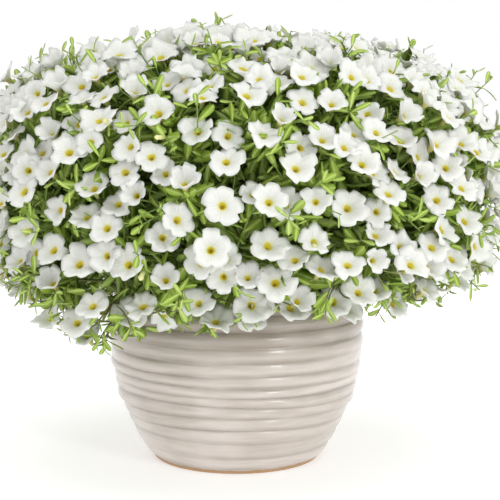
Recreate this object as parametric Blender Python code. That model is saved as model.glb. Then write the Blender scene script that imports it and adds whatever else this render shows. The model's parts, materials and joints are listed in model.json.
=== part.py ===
"""A white calibrachoa in flower, planted in a hand-thrown glazed bowl.

Metres, +Z up.  The origin is the middle of the bowl's foot, on the surface
that the bowl stands on.  The bowl is a lattice of throwing ridges, the soil
fills it, and the plant is a set of leafy sprays: each has one main stem in
its own hole in the soil, and carries leaves and five-lobed blooms.
"""
import math
import random

import bmesh
import bpy
import numpy as np
from mathutils import Vector

# Bowl
BOWL_HEIGHT = 0.172
FOOT_RADIUS = 0.0825
WIDEST_RADIUS = 0.1255
WIDEST_HEIGHT = 0.128
RIM_RADIUS = 0.121
BELLY_FULLNESS = 2.3
WALL = 0.008
FLOOR = 0.014
LIP_ROUNDING = 0.004
INNER_HEEL = 0.026
INNER_BELLY = 0.060
INNER_SHOULDER = BOWL_HEIGHT - 0.5 * WALL - LIP_ROUNDING
FLOOR_RADIUS = FOOT_RADIUS - WALL - LIP_ROUNDING
FOOT_RING_WIDTH = 0.014
FOOT_RECESS = 0.004
FOOT_ROUNDING = 0.001
DRAIN_RADIUS = 0.009
BOWL_SIDES = 24
RIDGE_DEPTH = 0.0024
GROOVE_HEIGHTS = (0.0045, 0.0160, 0.0328, 0.0462, 0.0581, 0.0701, 0.0799,
                  0.0890, 0.0994, 0.1119, 0.1266, 0.1415, 0.1560)
GROOVE_WANDER = 0.0016
GROOVE_TILT = 0.0022
RIDGE_SEED = 11

# Soil
SOIL_HEIGHT = 0.155
SOIL_GAP = 0.0003
SOIL_EDGE = 0.001
HOLE_DEPTH = 0.014
HOLE_SLACK = 0.0007
HOLES_RADIUS = 0.092

# The mound that the blooms lie on: a rounded cap over a shallow underside
MOUND_RADIUS = 0.257
MOUND_MIDDLE = 0.258
MOUND_SHIFT = (0.0012, 0.0045)
MOUND_RISE = 0.149
MOUND_DROP = 0.091
CAP_SQUARENESS = 2.8
SKIRT_SQUARENESS = 3.8
SKIRT_INNER_RADIUS = 0.170
BILLOW = 0.006
BILLOWS_ROUND = (5, 2)
BILLOWS_DOWN = (9, 13)
DROOP = 0.038
DROOP_TURN = math.radians(232)
DROOP_NARROWNESS = 8
PROFILE_STEPS = 400
NORMAL_SPAN = 0.01
GOLDEN_TURN = math.pi * (3 - math.sqrt(5))

# Main stems
SPRAYS = 34
STEM_STEPS = 4
STEM_RADIUS = 0.0024
STEM_TIP_RADIUS = 0.0016
STEM_COLLAR = 0.003
STEM_LIFT = 0.075
STEM_LEAN = 0.012
STEM_ARRIVAL = 0.060
STEM_OUTWARD = 0.25

# Blooms
PLANT_SEED = 5
BLOOM_SITES = 366
TIP_EVERY = 20
SHARE_SHAKE = 0.004
TURN_SHAKE = 0.12
BLOOM_SPACING = 0.0361
SPACING_ROUNDS = 20
SPACING_PACE = 0.35
BLOOM_DRIFT = 0.007
OUTWARD_LEAN = 1.2
LOWEST_LOOK = 0.05
UPWARD_LEAN = 0.8
BLOOM_SWAY = 0.75
TIP_SWAY = 0.15
BLOOM_RADIUS = 0.0158
BLOOM_RADIUS_SPREAD = 0.0016
LOBES = 5
NOTCH_SHARE = 0.80
NOTCH_LIFT = 0.0012
THROAT_DEPTH = 0.0050
TUBE_LENGTH = 0.0135
NECK_RADIUS = 0.0014

# Side shoots, which fork into flower stalks and leaves
FORK_DEPTH = 0.014
FORK_RADIUS = 0.0015
FORK_HEIGHT = 0.0030
SHOOT_ROOT_RADIUS = 0.0010
FORK_DEPTH_SPREAD = (0.85, 1.3)
ROOT_SHARES = (0.45, 0.60, 0.75, 0.92)
NEAREST_STEMS = 4
LEAST_FORWARD = 0.1
FORWARD_WORTH = 0.03
GROUP_SIZE = 3
GROUP_REACH = 0.062

# Leaves
LEAF_LENGTH = 0.026
LEAF_WIDTH = 0.0074
LEAF_KEEL = 0.0012
LEAF_WIDEST_AT = 0.60
LEAF_LENGTH_SPREAD = (0.85, 1.1)
LEAF_TWISTS = (-0.5, -0.2, 0.1, 0.4)
LEAF_SPREADS = (0.6, 0.85, 1.1, 1.4)

# Growing tips, which stand among the blooms
TIP_REACH = 0.006
TIP_LEAF_LENGTH = 0.017
TIP_BUD_LENGTH = 0.009
TIP_SPREAD = 0.5

# Room that each piece is given when its place is tried
CLEARANCE = 0.0008
LOOK_OUT = 0.010
STALK_ROOM = 0.0017
TUBE_ROOM = 0.003
LEAF_ROOM = 0.0032
LEAF_ROOT = 0.011
TIP_ROOM = 0.0075
RIM_BALLS = 10
RIM_ROOM = 0.21
HEART_ROOM = 0.55
HEART_DEPTH = 0.002

# Colours
GLAZE_COLOUR = (0.66, 0.58, 0.52, 1.0)
SOIL_COLOUR = (0.055, 0.038, 0.026, 1.0)
LEAF_COLOUR = (0.16, 0.23, 0.045, 1.0)


# Bowl and soil

def belly_radius(height):
    """Outer radius of the bowl over the crests of its ridges."""
    if height <= WIDEST_HEIGHT:
        share = 1 - (1 - height / WIDEST_HEIGHT) ** BELLY_FULLNESS
        return FOOT_RADIUS + (WIDEST_RADIUS - FOOT_RADIUS) * share
    share = (height - WIDEST_HEIGHT) / (BOWL_HEIGHT - WIDEST_HEIGHT)
    return WIDEST_RADIUS - (WIDEST_RADIUS - RIM_RADIUS) * share ** 2


def groove_waves():
    """Tilt and wander of each groove round the bowl, as the hand left them."""
    draw = random.Random(RIDGE_SEED)
    waves = []
    for height in GROOVE_HEIGHTS:
        waves.append((height,
                      GROOVE_TILT * draw.uniform(-1.0, -0.1),
                      GROOVE_WANDER * draw.uniform(-1.0, 1.0),
                      draw.uniform(0.0, math.tau)))
    return waves


def groove_height(wave, turn):
    """Height of one groove at an angle round the bowl."""
    height, tilt, wander, phase = wave
    calm = min(1.0, height / GROOVE_HEIGHTS[2])
    swing = tilt * math.cos(turn) + wander * math.sin(2 * turn + phase)
    return height + calm * swing


def bowl_rings():
    """Closed rings of (radius, height) functions of the turn, from the drain
    hole over the inner wall and rim, down the ridges and under the foot."""
    waves = groove_waves()
    rings = [lambda turn: (DRAIN_RADIUS, FLOOR),
             lambda turn: (FLOOR_RADIUS, FLOOR)]
    for height in (INNER_HEEL, INNER_BELLY, INNER_SHOULDER):
        rings.append(lambda turn, h=height: (belly_radius(h) - WALL, h))
    rings.append(lambda turn: (RIM_RADIUS - 0.75 * WALL,
                               BOWL_HEIGHT - 0.1 * LIP_ROUNDING))
    rings.append(lambda turn: (RIM_RADIUS - 0.25 * WALL, BOWL_HEIGHT))
    rings.append(lambda turn: (RIM_RADIUS + 0.2 * LIP_ROUNDING,
                               BOWL_HEIGHT - 1.2 * LIP_ROUNDING))
    for upper, lower in zip(reversed(waves), list(reversed(waves))[1:]):
        rings.append(lambda turn, w=upper: groove_point(w, turn))
        rings.append(lambda turn, a=upper, b=lower: crest_point(a, b, turn))
    rings.append(lambda turn: (FOOT_RADIUS, GROOVE_HEIGHTS[0]))
    rings.append(lambda turn: (FOOT_RADIUS - FOOT_ROUNDING, 0.0))
    inner_foot = FOOT_RADIUS - FOOT_RING_WIDTH
    rings.append(lambda turn: (inner_foot, 0.0))
    rings.append(lambda turn: (inner_foot - FOOT_RECESS, FOOT_RECESS))
    rings.append(lambda turn: (DRAIN_RADIUS, FOOT_RECESS))
    return rings


def groove_point(wave, turn):
    """Radius and height in the bottom of a groove."""
    height = groove_height(wave, turn)
    return belly_radius(height) - RIDGE_DEPTH, height


def crest_point(upper, lower, turn):
    """Radius and height on the crest between two grooves."""
    height = 0.5 * (groove_height(upper, turn) + groove_height(lower, turn))
    return belly_radius(height), height


def ring_lattice(name, rings, sides, closed):
    """A turned mesh through rings of points; closed joins last to first."""
    mesh = bpy.data.meshes.new(name)
    lattice = bmesh.new()
    rows = []
    for ring in rings:
        row = []
        for step in range(sides):
            turn = math.tau * step / sides
            radius, height = ring(turn)
            row.append(lattice.verts.new(
                (radius * math.cos(turn), radius * math.sin(turn), height)))
        rows.append(row)
    pairs = list(zip(rows, rows[1:]))
    if closed:
        pairs.append((rows[-1], rows[0]))
    for first, second in pairs:
        for step in range(sides):
            after = (step + 1) % sides
            lattice.faces.new((first[step], first[after],
                               second[after], second[step]))
    if not closed:
        lattice.faces.new(rows[0])
        lattice.faces.new(rows[-1])
    bmesh.ops.recalc_face_normals(lattice, faces=lattice.faces)
    lattice.to_mesh(mesh)
    lattice.free()
    return link(name, mesh)


def soil_rings():
    """Rings of the soil, from its bottom up the bowl's wall to its top."""
    rings = [lambda turn: (FLOOR_RADIUS - SOIL_EDGE, FLOOR + SOIL_GAP)]
    for height in (INNER_HEEL, INNER_BELLY, SOIL_HEIGHT):
        rings.append(lambda turn, h=height: (soil_radius(h), h))
    return rings


def soil_radius(height):
    """The inner wall is straight between its rings, so the soil is too."""
    stops = (INNER_HEEL, INNER_BELLY, INNER_SHOULDER)
    radii = [belly_radius(stop) - WALL for stop in stops]
    return float(np.interp(height, stops, radii)) - SOIL_GAP


# The mound and the places on it

def mound_profile():
    """Radius and height of the mound from its top down its sides and under
    its skirt, with the share of its area that lies above each step."""
    angle = np.linspace(0.0, math.pi, PROFILE_STEPS)
    across = np.sin(angle)
    along = np.cos(angle)
    power = np.where(along >= 0, 2 / CAP_SQUARENESS, 2 / SKIRT_SQUARENESS)
    tall = np.where(along >= 0, MOUND_RISE, MOUND_DROP)
    radius = MOUND_RADIUS * across ** power
    height = MOUND_MIDDLE + np.sign(along) * tall * np.abs(along) ** power
    kept = (along >= 0) | (radius > SKIRT_INNER_RADIUS)
    radius, height = radius[kept], height[kept]
    step = np.hypot(np.diff(radius), np.diff(height))
    belt = math.pi * (radius[1:] + radius[:-1]) * step
    share = np.concatenate([[0.0], np.cumsum(belt)])
    return radius, height, share / share[-1]


PROFILE = mound_profile()


def mound_place(share, turn):
    """Point and outward normal of the mound at a share of its area."""
    radius, height, shares = PROFILE
    here = float(np.interp(share, shares, radius))
    level = float(np.interp(share, shares, height))
    ahead = min(1.0, share + NORMAL_SPAN)
    behind = max(0.0, share - NORMAL_SPAN)
    run = np.interp(ahead, shares, radius) - np.interp(behind, shares, radius)
    drop = np.interp(ahead, shares, height) - np.interp(behind, shares, height)
    out = Vector((math.cos(turn), math.sin(turn), 0.0))
    normal = (out * float(-drop) + Vector((0.0, 0.0, float(run)))).normalized()
    place = out * here + Vector((*MOUND_SHIFT, level))
    swell = 1.0
    for turns, downs in zip(BILLOWS_ROUND, BILLOWS_DOWN):
        swell *= math.sin(turns * turn + downs * share)
    place += normal * BILLOW * swell
    low = max(0.0, (MOUND_MIDDLE - level) / MOUND_DROP)
    lean = max(0.0, math.cos(turn - DROOP_TURN))
    place.z -= DROOP * low ** 2 * lean ** DROOP_NARROWNESS
    return place, normal


def spiral_places(count):
    """Evenly spread places on the mound, along a golden-angle spiral."""
    return [((index + 0.5) / count, index * GOLDEN_TURN)
            for index in range(count)]


def bloom_places(draw):
    """Places of the blooms: the spiral shaken, then pushed apart."""
    points = []
    normals = []
    for share, turn in spiral_places(BLOOM_SITES):
        share += draw.uniform(-SHARE_SHAKE, SHARE_SHAKE)
        turn += draw.uniform(-TURN_SHAKE, TURN_SHAKE)
        point, normal = mound_place(min(1.0, max(0.0, share)), turn)
        points.append(point)
        normals.append(normal)
    spots = np.array(points)
    away = np.array(normals)
    for _ in range(SPACING_ROUNDS):
        gap = spots[:, None, :] - spots[None, :, :]
        distance = np.linalg.norm(gap, axis=2) + np.eye(len(spots))
        push = np.clip(BLOOM_SPACING - distance, 0.0, None)
        push[np.arange(len(spots)), np.arange(len(spots))] = 0.0
        move = (gap / distance[:, :, None] * push[:, :, None]).sum(axis=1)
        move -= (move * away).sum(axis=1)[:, None] * away
        spots += SPACING_PACE * move
    return [Vector(spot) for spot in spots], normals


# Clear space between sprays

class Space:
    """Balls that fill what is placed so far, each with its owner."""

    def __init__(self):
        self.centres = np.zeros((0, 3))
        self.radii = np.zeros(0)
        self.owners = np.zeros(0, dtype=int)

    def clearance(self, balls, owner=-1):
        """Least gap between some balls and what other owners placed."""
        centres = np.array([centre for centre, _ in balls])
        radii = np.array([radius for _, radius in balls])
        middle = centres.mean(axis=0)
        reach = np.linalg.norm(centres - middle, axis=1).max()
        reach += radii.max() + LOOK_OUT
        near = np.linalg.norm(self.centres - middle, axis=1) < reach + self.radii
        near &= self.owners != owner
        if not near.any():
            return LOOK_OUT
        gap = np.linalg.norm(centres[:, None] - self.centres[None, near], axis=2)
        return float((gap - radii[:, None] - self.radii[None, near]).min())

    def add(self, balls, owner):
        """Takes up the room of some balls."""
        centres = np.array([centre for centre, _ in balls])
        radii = np.array([radius for _, radius in balls])
        self.centres = np.vstack([self.centres, centres])
        self.radii = np.concatenate([self.radii, radii])
        self.owners = np.concatenate(
            [self.owners, np.full(len(radii), owner, dtype=int)])


def balls_along(first, last, radius, pace=0.004):
    """Balls in a row between two points."""
    count = max(2, int((last - first).length / pace) + 1)
    return [(first.lerp(last, index / (count - 1)), radius)
            for index in range(count)]


def balls_of_bloom(bloom):
    """Balls that cover a bloom's disc and its tube."""
    centre, facing, radius = bloom["centre"], bloom["facing"], bloom["radius"]
    if bloom["leafy"]:
        return balls_along(bloom["neck"], centre, TIP_ROOM)
    first, second = frame_of(facing)
    balls = [(centre - facing * HEART_DEPTH, HEART_ROOM * radius)]
    for step in range(RIM_BALLS):
        turn = math.tau * step / RIM_BALLS
        reach = first * math.cos(turn) + second * math.sin(turn)
        balls.append((centre + reach * radius * (1 - RIM_ROOM), RIM_ROOM * radius))
    return balls + balls_along(centre, bloom["neck"], TUBE_ROOM)


def frame_of(direction):
    """Two unit vectors that make a right-handed frame with a direction."""
    guide = Vector((0.0, 0.0, 1.0))
    if abs(direction.z) > 0.95:
        guide = Vector((1.0, 0.0, 0.0))
    first = direction.cross(guide).normalized()
    return first, direction.cross(first)


def outside_bowl(balls):
    """True where every ball is above the soil and clear of the bowl."""
    for centre, radius in balls:
        reach = math.hypot(centre[0], centre[1])
        if centre[2] - radius > BOWL_HEIGHT + CLEARANCE:
            continue
        wall = belly_radius(max(0.0, min(centre[2], BOWL_HEIGHT)))
        inside = (reach + radius < wall - WALL - CLEARANCE
                  and centre[2] - radius > SOIL_HEIGHT + CLEARANCE)
        if not inside and reach - radius < wall + CLEARANCE:
            return False
    return True


# Laying out the plant

def plan_plant():
    """Stems, forks, blooms and leaves of every spray."""
    draw = random.Random(PLANT_SEED)
    space = Space()
    blooms = plan_blooms(draw)
    shoots = [plan_fork(draw, group) for group in group_up(blooms)]
    sprays = plan_stems(draw, space, shoots)
    for shoot in shoots:
        if not shoot["on_stem"]:
            hang_shoot(space, sprays, shoot)
    for owner, spray in enumerate(sprays):
        for shoot in spray["shoots"]:
            plan_leaves(draw, space, owner, shoot)
    return sprays


def plan_blooms(draw):
    """Where each bloom is, where it looks and how large it is."""
    blooms = []
    spots, normals = bloom_places(draw)
    for spot, normal in zip(spots, normals):
        out = Vector((spot.x, spot.y, 0.0)).normalized()
        sway = Vector([draw.uniform(-1, 1) for _ in range(3)])
        look = Vector((normal.x, normal.y, max(normal.z, LOWEST_LOOK)))
        lean = out * OUTWARD_LEAN + Vector((0.0, 0.0, UPWARD_LEAN))
        facing = (look + lean + sway * BLOOM_SWAY).normalized()
        centre = spot + normal * draw.uniform(-1, 1) * BLOOM_DRIFT
        radius = BLOOM_RADIUS + draw.uniform(-1, 1) * BLOOM_RADIUS_SPREAD
        leafy = len(blooms) % TIP_EVERY == TIP_EVERY // 2
        if leafy:
            facing = (normal + sway * TIP_SWAY).normalized()
            centre = spot + normal * TIP_REACH
        bloom = {"centre": centre, "facing": facing, "normal": normal,
                 "radius": radius, "spin": draw.uniform(0.0, math.tau),
                 "neck": centre - facing * TUBE_LENGTH, "leafy": leafy}
        if outside_bowl(balls_of_bloom(bloom)):
            blooms.append(bloom)
    return blooms


def group_up(blooms):
    """Groups neighbouring blooms by threes; at a group's reach they end."""
    left = list(range(len(blooms)))
    groups = []
    while left:
        first = left.pop(0)
        here = blooms[first]["centre"]
        near = sorted(left, key=lambda k: (blooms[k]["centre"] - here).length)
        group = [blooms[first]]
        for other in near[:GROUP_SIZE - 1]:
            if (blooms[other]["centre"] - here).length < GROUP_REACH:
                group.append(blooms[other])
                left.remove(other)
        groups.append(group)
    return groups


def plan_fork(draw, group):
    """The point under a group of blooms where their shoot divides."""
    necks = sum((bloom["neck"] for bloom in group), Vector()) / len(group)
    normal = sum((bloom["normal"] for bloom in group), Vector()).normalized()
    depth = FORK_DEPTH * draw.uniform(*FORK_DEPTH_SPREAD)
    return {"blooms": group, "fork": necks - normal * depth,
            "normal": normal, "on_stem": False, "leaves": []}


def plan_stems(draw, space, shoots):
    """Main stems, each from its hole to the nearest free fork."""
    sprays = []
    for owner, (share, turn) in enumerate(spiral_places(SPRAYS)):
        aim, _ = mound_place(share, turn)
        free = [shoot for shoot in shoots if not shoot["on_stem"]]
        end = min(free, key=lambda shoot: (shoot["fork"] - aim).length)
        end["on_stem"] = True
        path = stem_path(share, turn, end)
        end["path"] = path
        sprays.append({"path": path, "shoots": [end]})
        for first, last in zip(path, path[1:]):
            space.add(balls_along(first, last, STEM_RADIUS), owner)
        claim_blooms(space, owner, end)
    return sprays


def stem_path(share, turn, end):
    """Upright out of its hole, then in one bend to the fork it ends in."""
    out = Vector((math.cos(turn), math.sin(turn), 0.0))
    foot = out * (HOLES_RADIUS * math.sqrt(share))
    foot.z = SOIL_HEIGHT - HOLE_DEPTH
    collar = foot.copy()
    collar.z = SOIL_HEIGHT + STEM_COLLAR
    lift = collar + Vector((0.0, 0.0, STEM_LIFT)) + out * STEM_LEAN * share
    arrival = (end["normal"] + out * STEM_OUTWARD).normalized()
    before = end["fork"] - arrival * STEM_ARRIVAL
    path = [foot, collar]
    for step in range(1, STEM_STEPS + 1):
        t = step / STEM_STEPS
        s = 1 - t
        path.append(collar * s ** 3 + lift * (3 * s * s * t)
                    + before * (3 * s * t * t) + end["fork"] * t ** 3)
    return path


def claim_blooms(space, owner, shoot):
    """Takes up the room of a fork's blooms and their stalks."""
    for bloom in shoot["blooms"]:
        space.add(balls_of_bloom(bloom), owner)
        space.add(balls_along(shoot["fork"], bloom["neck"], STALK_ROOM), owner)


def hang_shoot(space, sprays, shoot):
    """Grows a side shoot from the nearest stem that reaches it clear."""
    def distance(owner):
        return min((point - shoot["fork"]).length
                   for point in sprays[owner]["path"][2:])
    parts = []
    for bloom in shoot["blooms"]:
        parts += balls_of_bloom(bloom)
        parts += balls_along(shoot["fork"], bloom["neck"], STALK_ROOM)
    best = None
    for owner in sorted(range(len(sprays)), key=distance)[:NEAREST_STEMS]:
        if space.clearance(parts, owner) < CLEARANCE:
            continue
        for share in ROOT_SHARES:
            root, along = point_on(sprays[owner]["path"], share)
            run = shoot["fork"] - root
            forward = run.normalized().dot(along)
            if forward < LEAST_FORWARD:
                continue
            shaft = balls_along(root, shoot["fork"], STALK_ROOM)
            if not outside_bowl(shaft):
                continue
            if space.clearance(shaft, owner) < CLEARANCE:
                continue
            score = run.length - FORWARD_WORTH * forward
            if best is None or score < best[0]:
                best = (score, owner, root, shaft)
    if best is None:
        return
    _, owner, root, shaft = best
    shoot["path"] = [root, shoot["fork"]]
    sprays[owner]["shoots"].append(shoot)
    space.add(shaft, owner)
    claim_blooms(space, owner, shoot)


def point_on(path, share):
    """Point and direction at a share of the way along a stem's bend."""
    place = share * (len(path) - 2) + 1
    index = min(int(place), len(path) - 2)
    step = path[index + 1] - path[index]
    return path[index] + step * (place - index), step.normalized()


def plan_leaves(draw, space, owner, shoot):
    """The fork's frame, and a leaf on each side that bears no stalk."""
    fork = shoot["fork"]
    along = (fork - shoot["path"][-2]).normalized()
    last = shoot["blooms"][-1]
    axis = (along + (last["neck"] - fork).normalized() * 0.5).normalized()
    first, second = frame_of(axis)
    aside = shoot["blooms"][0]["neck"] - fork
    azimuth = math.atan2(aside.dot(second), aside.dot(first))
    shoot["axis"] = axis
    shoot["azimuth"] = azimuth
    free = [0, 1, 2]
    shoot["sides"] = {}
    for bloom in shoot["blooms"][:-1]:
        aside = bloom["neck"] - fork
        turn = math.atan2(aside.dot(second), aside.dot(first)) - azimuth
        face = min(free, key=lambda k: math.cos(turn - math.tau * k / 3) * -1)
        shoot["sides"][face] = bloom
        free.remove(face)
    for face in free:
        turn = azimuth + math.tau * face / 3
        leaf = plan_leaf(draw, space, owner, fork, axis, turn)
        if leaf:
            leaf["face"] = face
            shoot["leaves"].append(leaf)


def plan_leaf(draw, space, owner, fork, axis, turn):
    """Tries leaf directions about one side of a fork; keeps the freest."""
    length = LEAF_LENGTH * draw.uniform(*LEAF_LENGTH_SPREAD)
    first, second = frame_of(axis)
    best = None
    for twist in LEAF_TWISTS:
        for spread in LEAF_SPREADS:
            away = (first * math.cos(turn + twist)
                    + second * math.sin(turn + twist))
            direction = axis * math.cos(spread) + away * math.sin(spread)
            tip = fork + direction * length
            balls = balls_along(fork + direction * LEAF_ROOT, tip, LEAF_ROOM)
            if not outside_bowl(balls):
                continue
            room = min(space.clearance(balls, owner), space.clearance(balls))
            if best is None or room > best[0]:
                best = (room, direction, balls)
    if best is None or best[0] < CLEARANCE:
        return None
    _, direction, balls = best
    space.add(balls, owner)
    return {"direction": direction, "length": length}


# Solids of the plant

def paced_pairs(low, high):
    """Pairs of points across two loops, going round both at an even pace."""
    pairs = []
    i = j = 0
    while i < len(low) and j < len(high):
        pairs.append((low[i], high[j]))
        if (i + 0.5) / len(low) <= (j + 0.5) / len(high):
            i += 1
        else:
            j += 1
    pairs += [(low[k], high[0]) for k in range(i, len(low))]
    pairs += [(low[0], high[k]) for k in range(j, len(high))]
    return pairs


class Growth:
    """A closed skin grown loop by loop; loops turn left round the way on."""

    def __init__(self):
        self.points = []
        self.faces = []

    def ring(self, middle, axis, radius, start, sides=3):
        """A loop of points round an axis."""
        first, second = frame_of(axis)
        loop = []
        for k in range(sides):
            turn = start + math.tau * k / sides
            reach = first * math.cos(turn) + second * math.sin(turn)
            loop.append(self.point(middle + reach * radius))
        return loop

    def point(self, place):
        self.points.append(place)
        return len(self.points) - 1

    def middle(self, loop):
        return sum((self.points[k] for k in loop), Vector()) / len(loop)

    def bridge(self, low, high):
        """Joins two loops, of any sizes, by the least twisted belt."""
        step = self.middle(high) - self.middle(low)

        def length(belt):
            return sum((self.points[a] + step - self.points[b]).length_squared
                       for a, b in belt)
        belt = min((paced_pairs(low[i:] + low[:i], high[j:] + high[:j])
                    for i in range(len(low)) for j in range(len(high))),
                   key=length)
        for (a, b), (c, d) in zip(belt, belt[1:] + belt[:1]):
            self.faces.append((a, c, b) if b == d else (a, d, b))

    def close(self, loop, place):
        """Ends a loop in one point."""
        tip = self.point(place)
        for a, b in zip(loop, loop[1:] + loop[:1]):
            self.faces.append((a, b, tip))

    def stalk(self, path, radii, start=0.0):
        """A stem along a path, with a closed foot; returns its last loop."""
        loop = None
        for index, radius in enumerate(radii):
            way = path[1] - path[0]
            if index > 1:
                way = path[index + 1] - path[index - 1]
            ring = self.ring(path[index], way.normalized(), radius, start)
            if loop is None:
                self.faces.append(tuple(reversed(ring)))
            else:
                self.bridge(loop, ring)
            loop = ring
        return loop

    def bloom(self, loop, bloom):
        """A flower stalk, tube and lobed rim round a sunk throat."""
        if bloom["leafy"]:
            self.tip(loop, bloom)
            return
        base = self.middle(loop)
        centre, facing, neck = bloom["centre"], bloom["facing"], bloom["neck"]
        along = ((neck - base).normalized() + facing).normalized()
        throat = self.ring(neck, along, NECK_RADIUS, bloom["spin"])
        self.bridge(loop, throat)
        first, second = frame_of(facing)
        rim = []
        for k in range(2 * LOBES):
            notch = k % 2
            turn = bloom["spin"] + math.pi * k / LOBES
            reach = bloom["radius"] * (NOTCH_SHARE if notch else 1.0)
            rim.append(self.point(
                centre + (first * math.cos(turn) + second * math.sin(turn)) * reach
                + facing * (NOTCH_LIFT if notch else 0.0)))
        self.bridge(throat, rim)
        self.close(rim, centre - facing * THROAT_DEPTH)

    def tip(self, loop, bloom):
        """A growing tip: a stalk with three short leaves round its bud."""
        base = self.middle(loop)
        neck, facing = bloom["neck"], bloom["facing"]
        along = ((neck - base).normalized() + facing).normalized()
        low = self.ring(neck, along, NECK_RADIUS, bloom["spin"])
        high = self.ring(neck + along * FORK_HEIGHT, along, NECK_RADIUS,
                         bloom["spin"])
        self.bridge(loop, low)
        first, second = frame_of(along)
        for face in range(3):
            after = (face + 1) % 3
            turn = bloom["spin"] + math.tau * (face + 0.5) / 3
            away = first * math.cos(turn) + second * math.sin(turn)
            self.leaf([low[face], low[after], high[after], high[face]],
                      {"direction": (along + away * TIP_SPREAD).normalized(),
                       "length": TIP_LEAF_LENGTH})
        self.close(high, neck + along * TIP_BUD_LENGTH)

    def leaf(self, loop, leaf):
        """A pointed blade, flat above with a keel below."""
        root = self.middle(loop)
        along = leaf["direction"]
        tip = root + along * leaf["length"]
        across = along.cross(Vector((0.0, 0.0, 1.0))).normalized()
        above = across.cross(along)
        middle = root.lerp(tip, LEAF_WIDEST_AT)
        half = across * 0.5 * LEAF_WIDTH
        section = [self.point(middle - half), self.point(middle + half),
                   self.point(middle - above * LEAF_KEEL)]
        self.bridge(loop, section)
        self.close(section, tip)


def grow_shoot(shoot, radii):
    """One shoot: its stem, then a fork that bears its blooms and leaves."""
    growth = Growth()
    path = shoot["path"]
    fork, axis, start = shoot["fork"], shoot["axis"], shoot["azimuth"] - math.pi / 3
    stem = growth.stalk(path, radii)
    low = growth.ring(fork - axis * 0.5 * FORK_HEIGHT, axis, FORK_RADIUS, start)
    high = growth.ring(fork + axis * 0.5 * FORK_HEIGHT, axis, FORK_RADIUS, start)
    growth.bridge(stem, low)
    growing = {leaf["face"]: leaf for leaf in shoot["leaves"]}
    sides = shoot["sides"]
    for face in range(3):
        after = (face + 1) % 3
        side = [low[face], low[after], high[after], high[face]]
        if face in sides:
            growth.bloom(side, sides[face])
        elif face in growing:
            growth.leaf(side, growing[face])
        else:
            growth.faces.append(tuple(side))
    growth.bloom(high, shoot["blooms"][-1])
    return growth.points, growth.faces


def grow_spray(spray):
    """Solids of one spray: the main stem's shoot, then its side shoots."""
    steps = len(spray["path"]) - 2
    radii = [STEM_RADIUS, STEM_RADIUS]
    radii += [STEM_RADIUS + (STEM_TIP_RADIUS - STEM_RADIUS) * step / steps
              for step in range(1, steps)]
    solids = [grow_shoot(spray["shoots"][0], radii)]
    solids += [grow_shoot(shoot, [SHOOT_ROOT_RADIUS])
               for shoot in spray["shoots"][1:]]
    return solids


def link(name, mesh):
    made = bpy.data.objects.new(name, mesh)
    bpy.context.scene.collection.objects.link(made)
    return made


def closed_mesh(name, points, faces):
    mesh = bpy.data.meshes.new(name)
    mesh.from_pydata([tuple(point) for point in points], [], faces)
    return mesh


def join_with(made, meshes, operation):
    """One Boolean of an object with a collection of solids, applied."""
    others = bpy.data.collections.new(made.name + "_others")
    bpy.context.scene.collection.children.link(others)
    for mesh in meshes:
        others.objects.link(bpy.data.objects.new("other", mesh))
    boolean = made.modifiers.new("Join", "BOOLEAN")
    boolean.operation = operation
    boolean.operand_type = "COLLECTION"
    boolean.collection = others
    boolean.solver = "MANIFOLD"
    graph = bpy.context.evaluated_depsgraph_get()
    mesh = bpy.data.meshes.new_from_object(made.evaluated_get(graph))
    made.modifiers.clear()
    made.data = mesh
    for other in list(others.objects):
        bpy.data.objects.remove(other)
    bpy.data.collections.remove(others)


def give_material(made, name, colour, roughness, coat=0.0):
    material = bpy.data.materials.get(name) or bpy.data.materials.new(name)
    material.use_nodes = True
    shader = material.node_tree.nodes["Principled BSDF"]
    shader.inputs["Base Color"].default_value = colour
    shader.inputs["Roughness"].default_value = roughness
    shader.inputs["Metallic"].default_value = 0.0
    shader.inputs["Coat Weight"].default_value = coat
    made.data.materials.clear()
    made.data.materials.append(material)


# Pieces

def make_bowl():
    bowl = ring_lattice("bowl", bowl_rings(), BOWL_SIDES, closed=True)
    give_material(bowl, "glazed stoneware", GLAZE_COLOUR, 0.3, coat=0.4)


def hole_mesh(foot):
    """A plain three-sided hole round the foot of a stem."""
    up = Vector((0.0, 0.0, 1.0))
    hole = Growth()
    bottom = Vector((foot.x, foot.y, foot.z - SOIL_GAP))
    top = Vector((foot.x, foot.y, SOIL_HEIGHT + HOLE_DEPTH))
    low = hole.ring(bottom, up, STEM_RADIUS + HOLE_SLACK, 0.0)
    high = hole.ring(top, up, STEM_RADIUS + HOLE_SLACK, 0.0)
    hole.faces.append(tuple(reversed(low)))
    for k in range(3):
        hole.faces.append((low[k], low[(k + 1) % 3], high[(k + 1) % 3], high[k]))
    hole.faces.append(tuple(high))
    return closed_mesh("hole", hole.points, hole.faces)


def make_soil(sprays):
    """Soil with a plain hole for the foot of every main stem."""
    soil = ring_lattice("soil", soil_rings(), BOWL_SIDES, closed=False)
    join_with(soil, [hole_mesh(spray["path"][0]) for spray in sprays], "DIFFERENCE")
    give_material(soil, "potting soil", SOIL_COLOUR, 0.95)


def make_sprays(sprays):
    for index, spray in enumerate(sprays):
        name = "spray_%02d" % (index + 1)
        meshes = [closed_mesh(name, *solid) for solid in grow_spray(spray)]
        made = link(name, meshes[0])
        if len(meshes) > 1:
            join_with(made, meshes[1:], "UNION")
        give_material(made, "leaves and petals", LEAF_COLOUR, 0.6)


def main():
    for old in list(bpy.data.objects):
        bpy.data.objects.remove(old)
    sprays = plan_plant()
    make_bowl()
    make_soil(sprays)
    make_sprays(sprays)


main()
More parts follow.
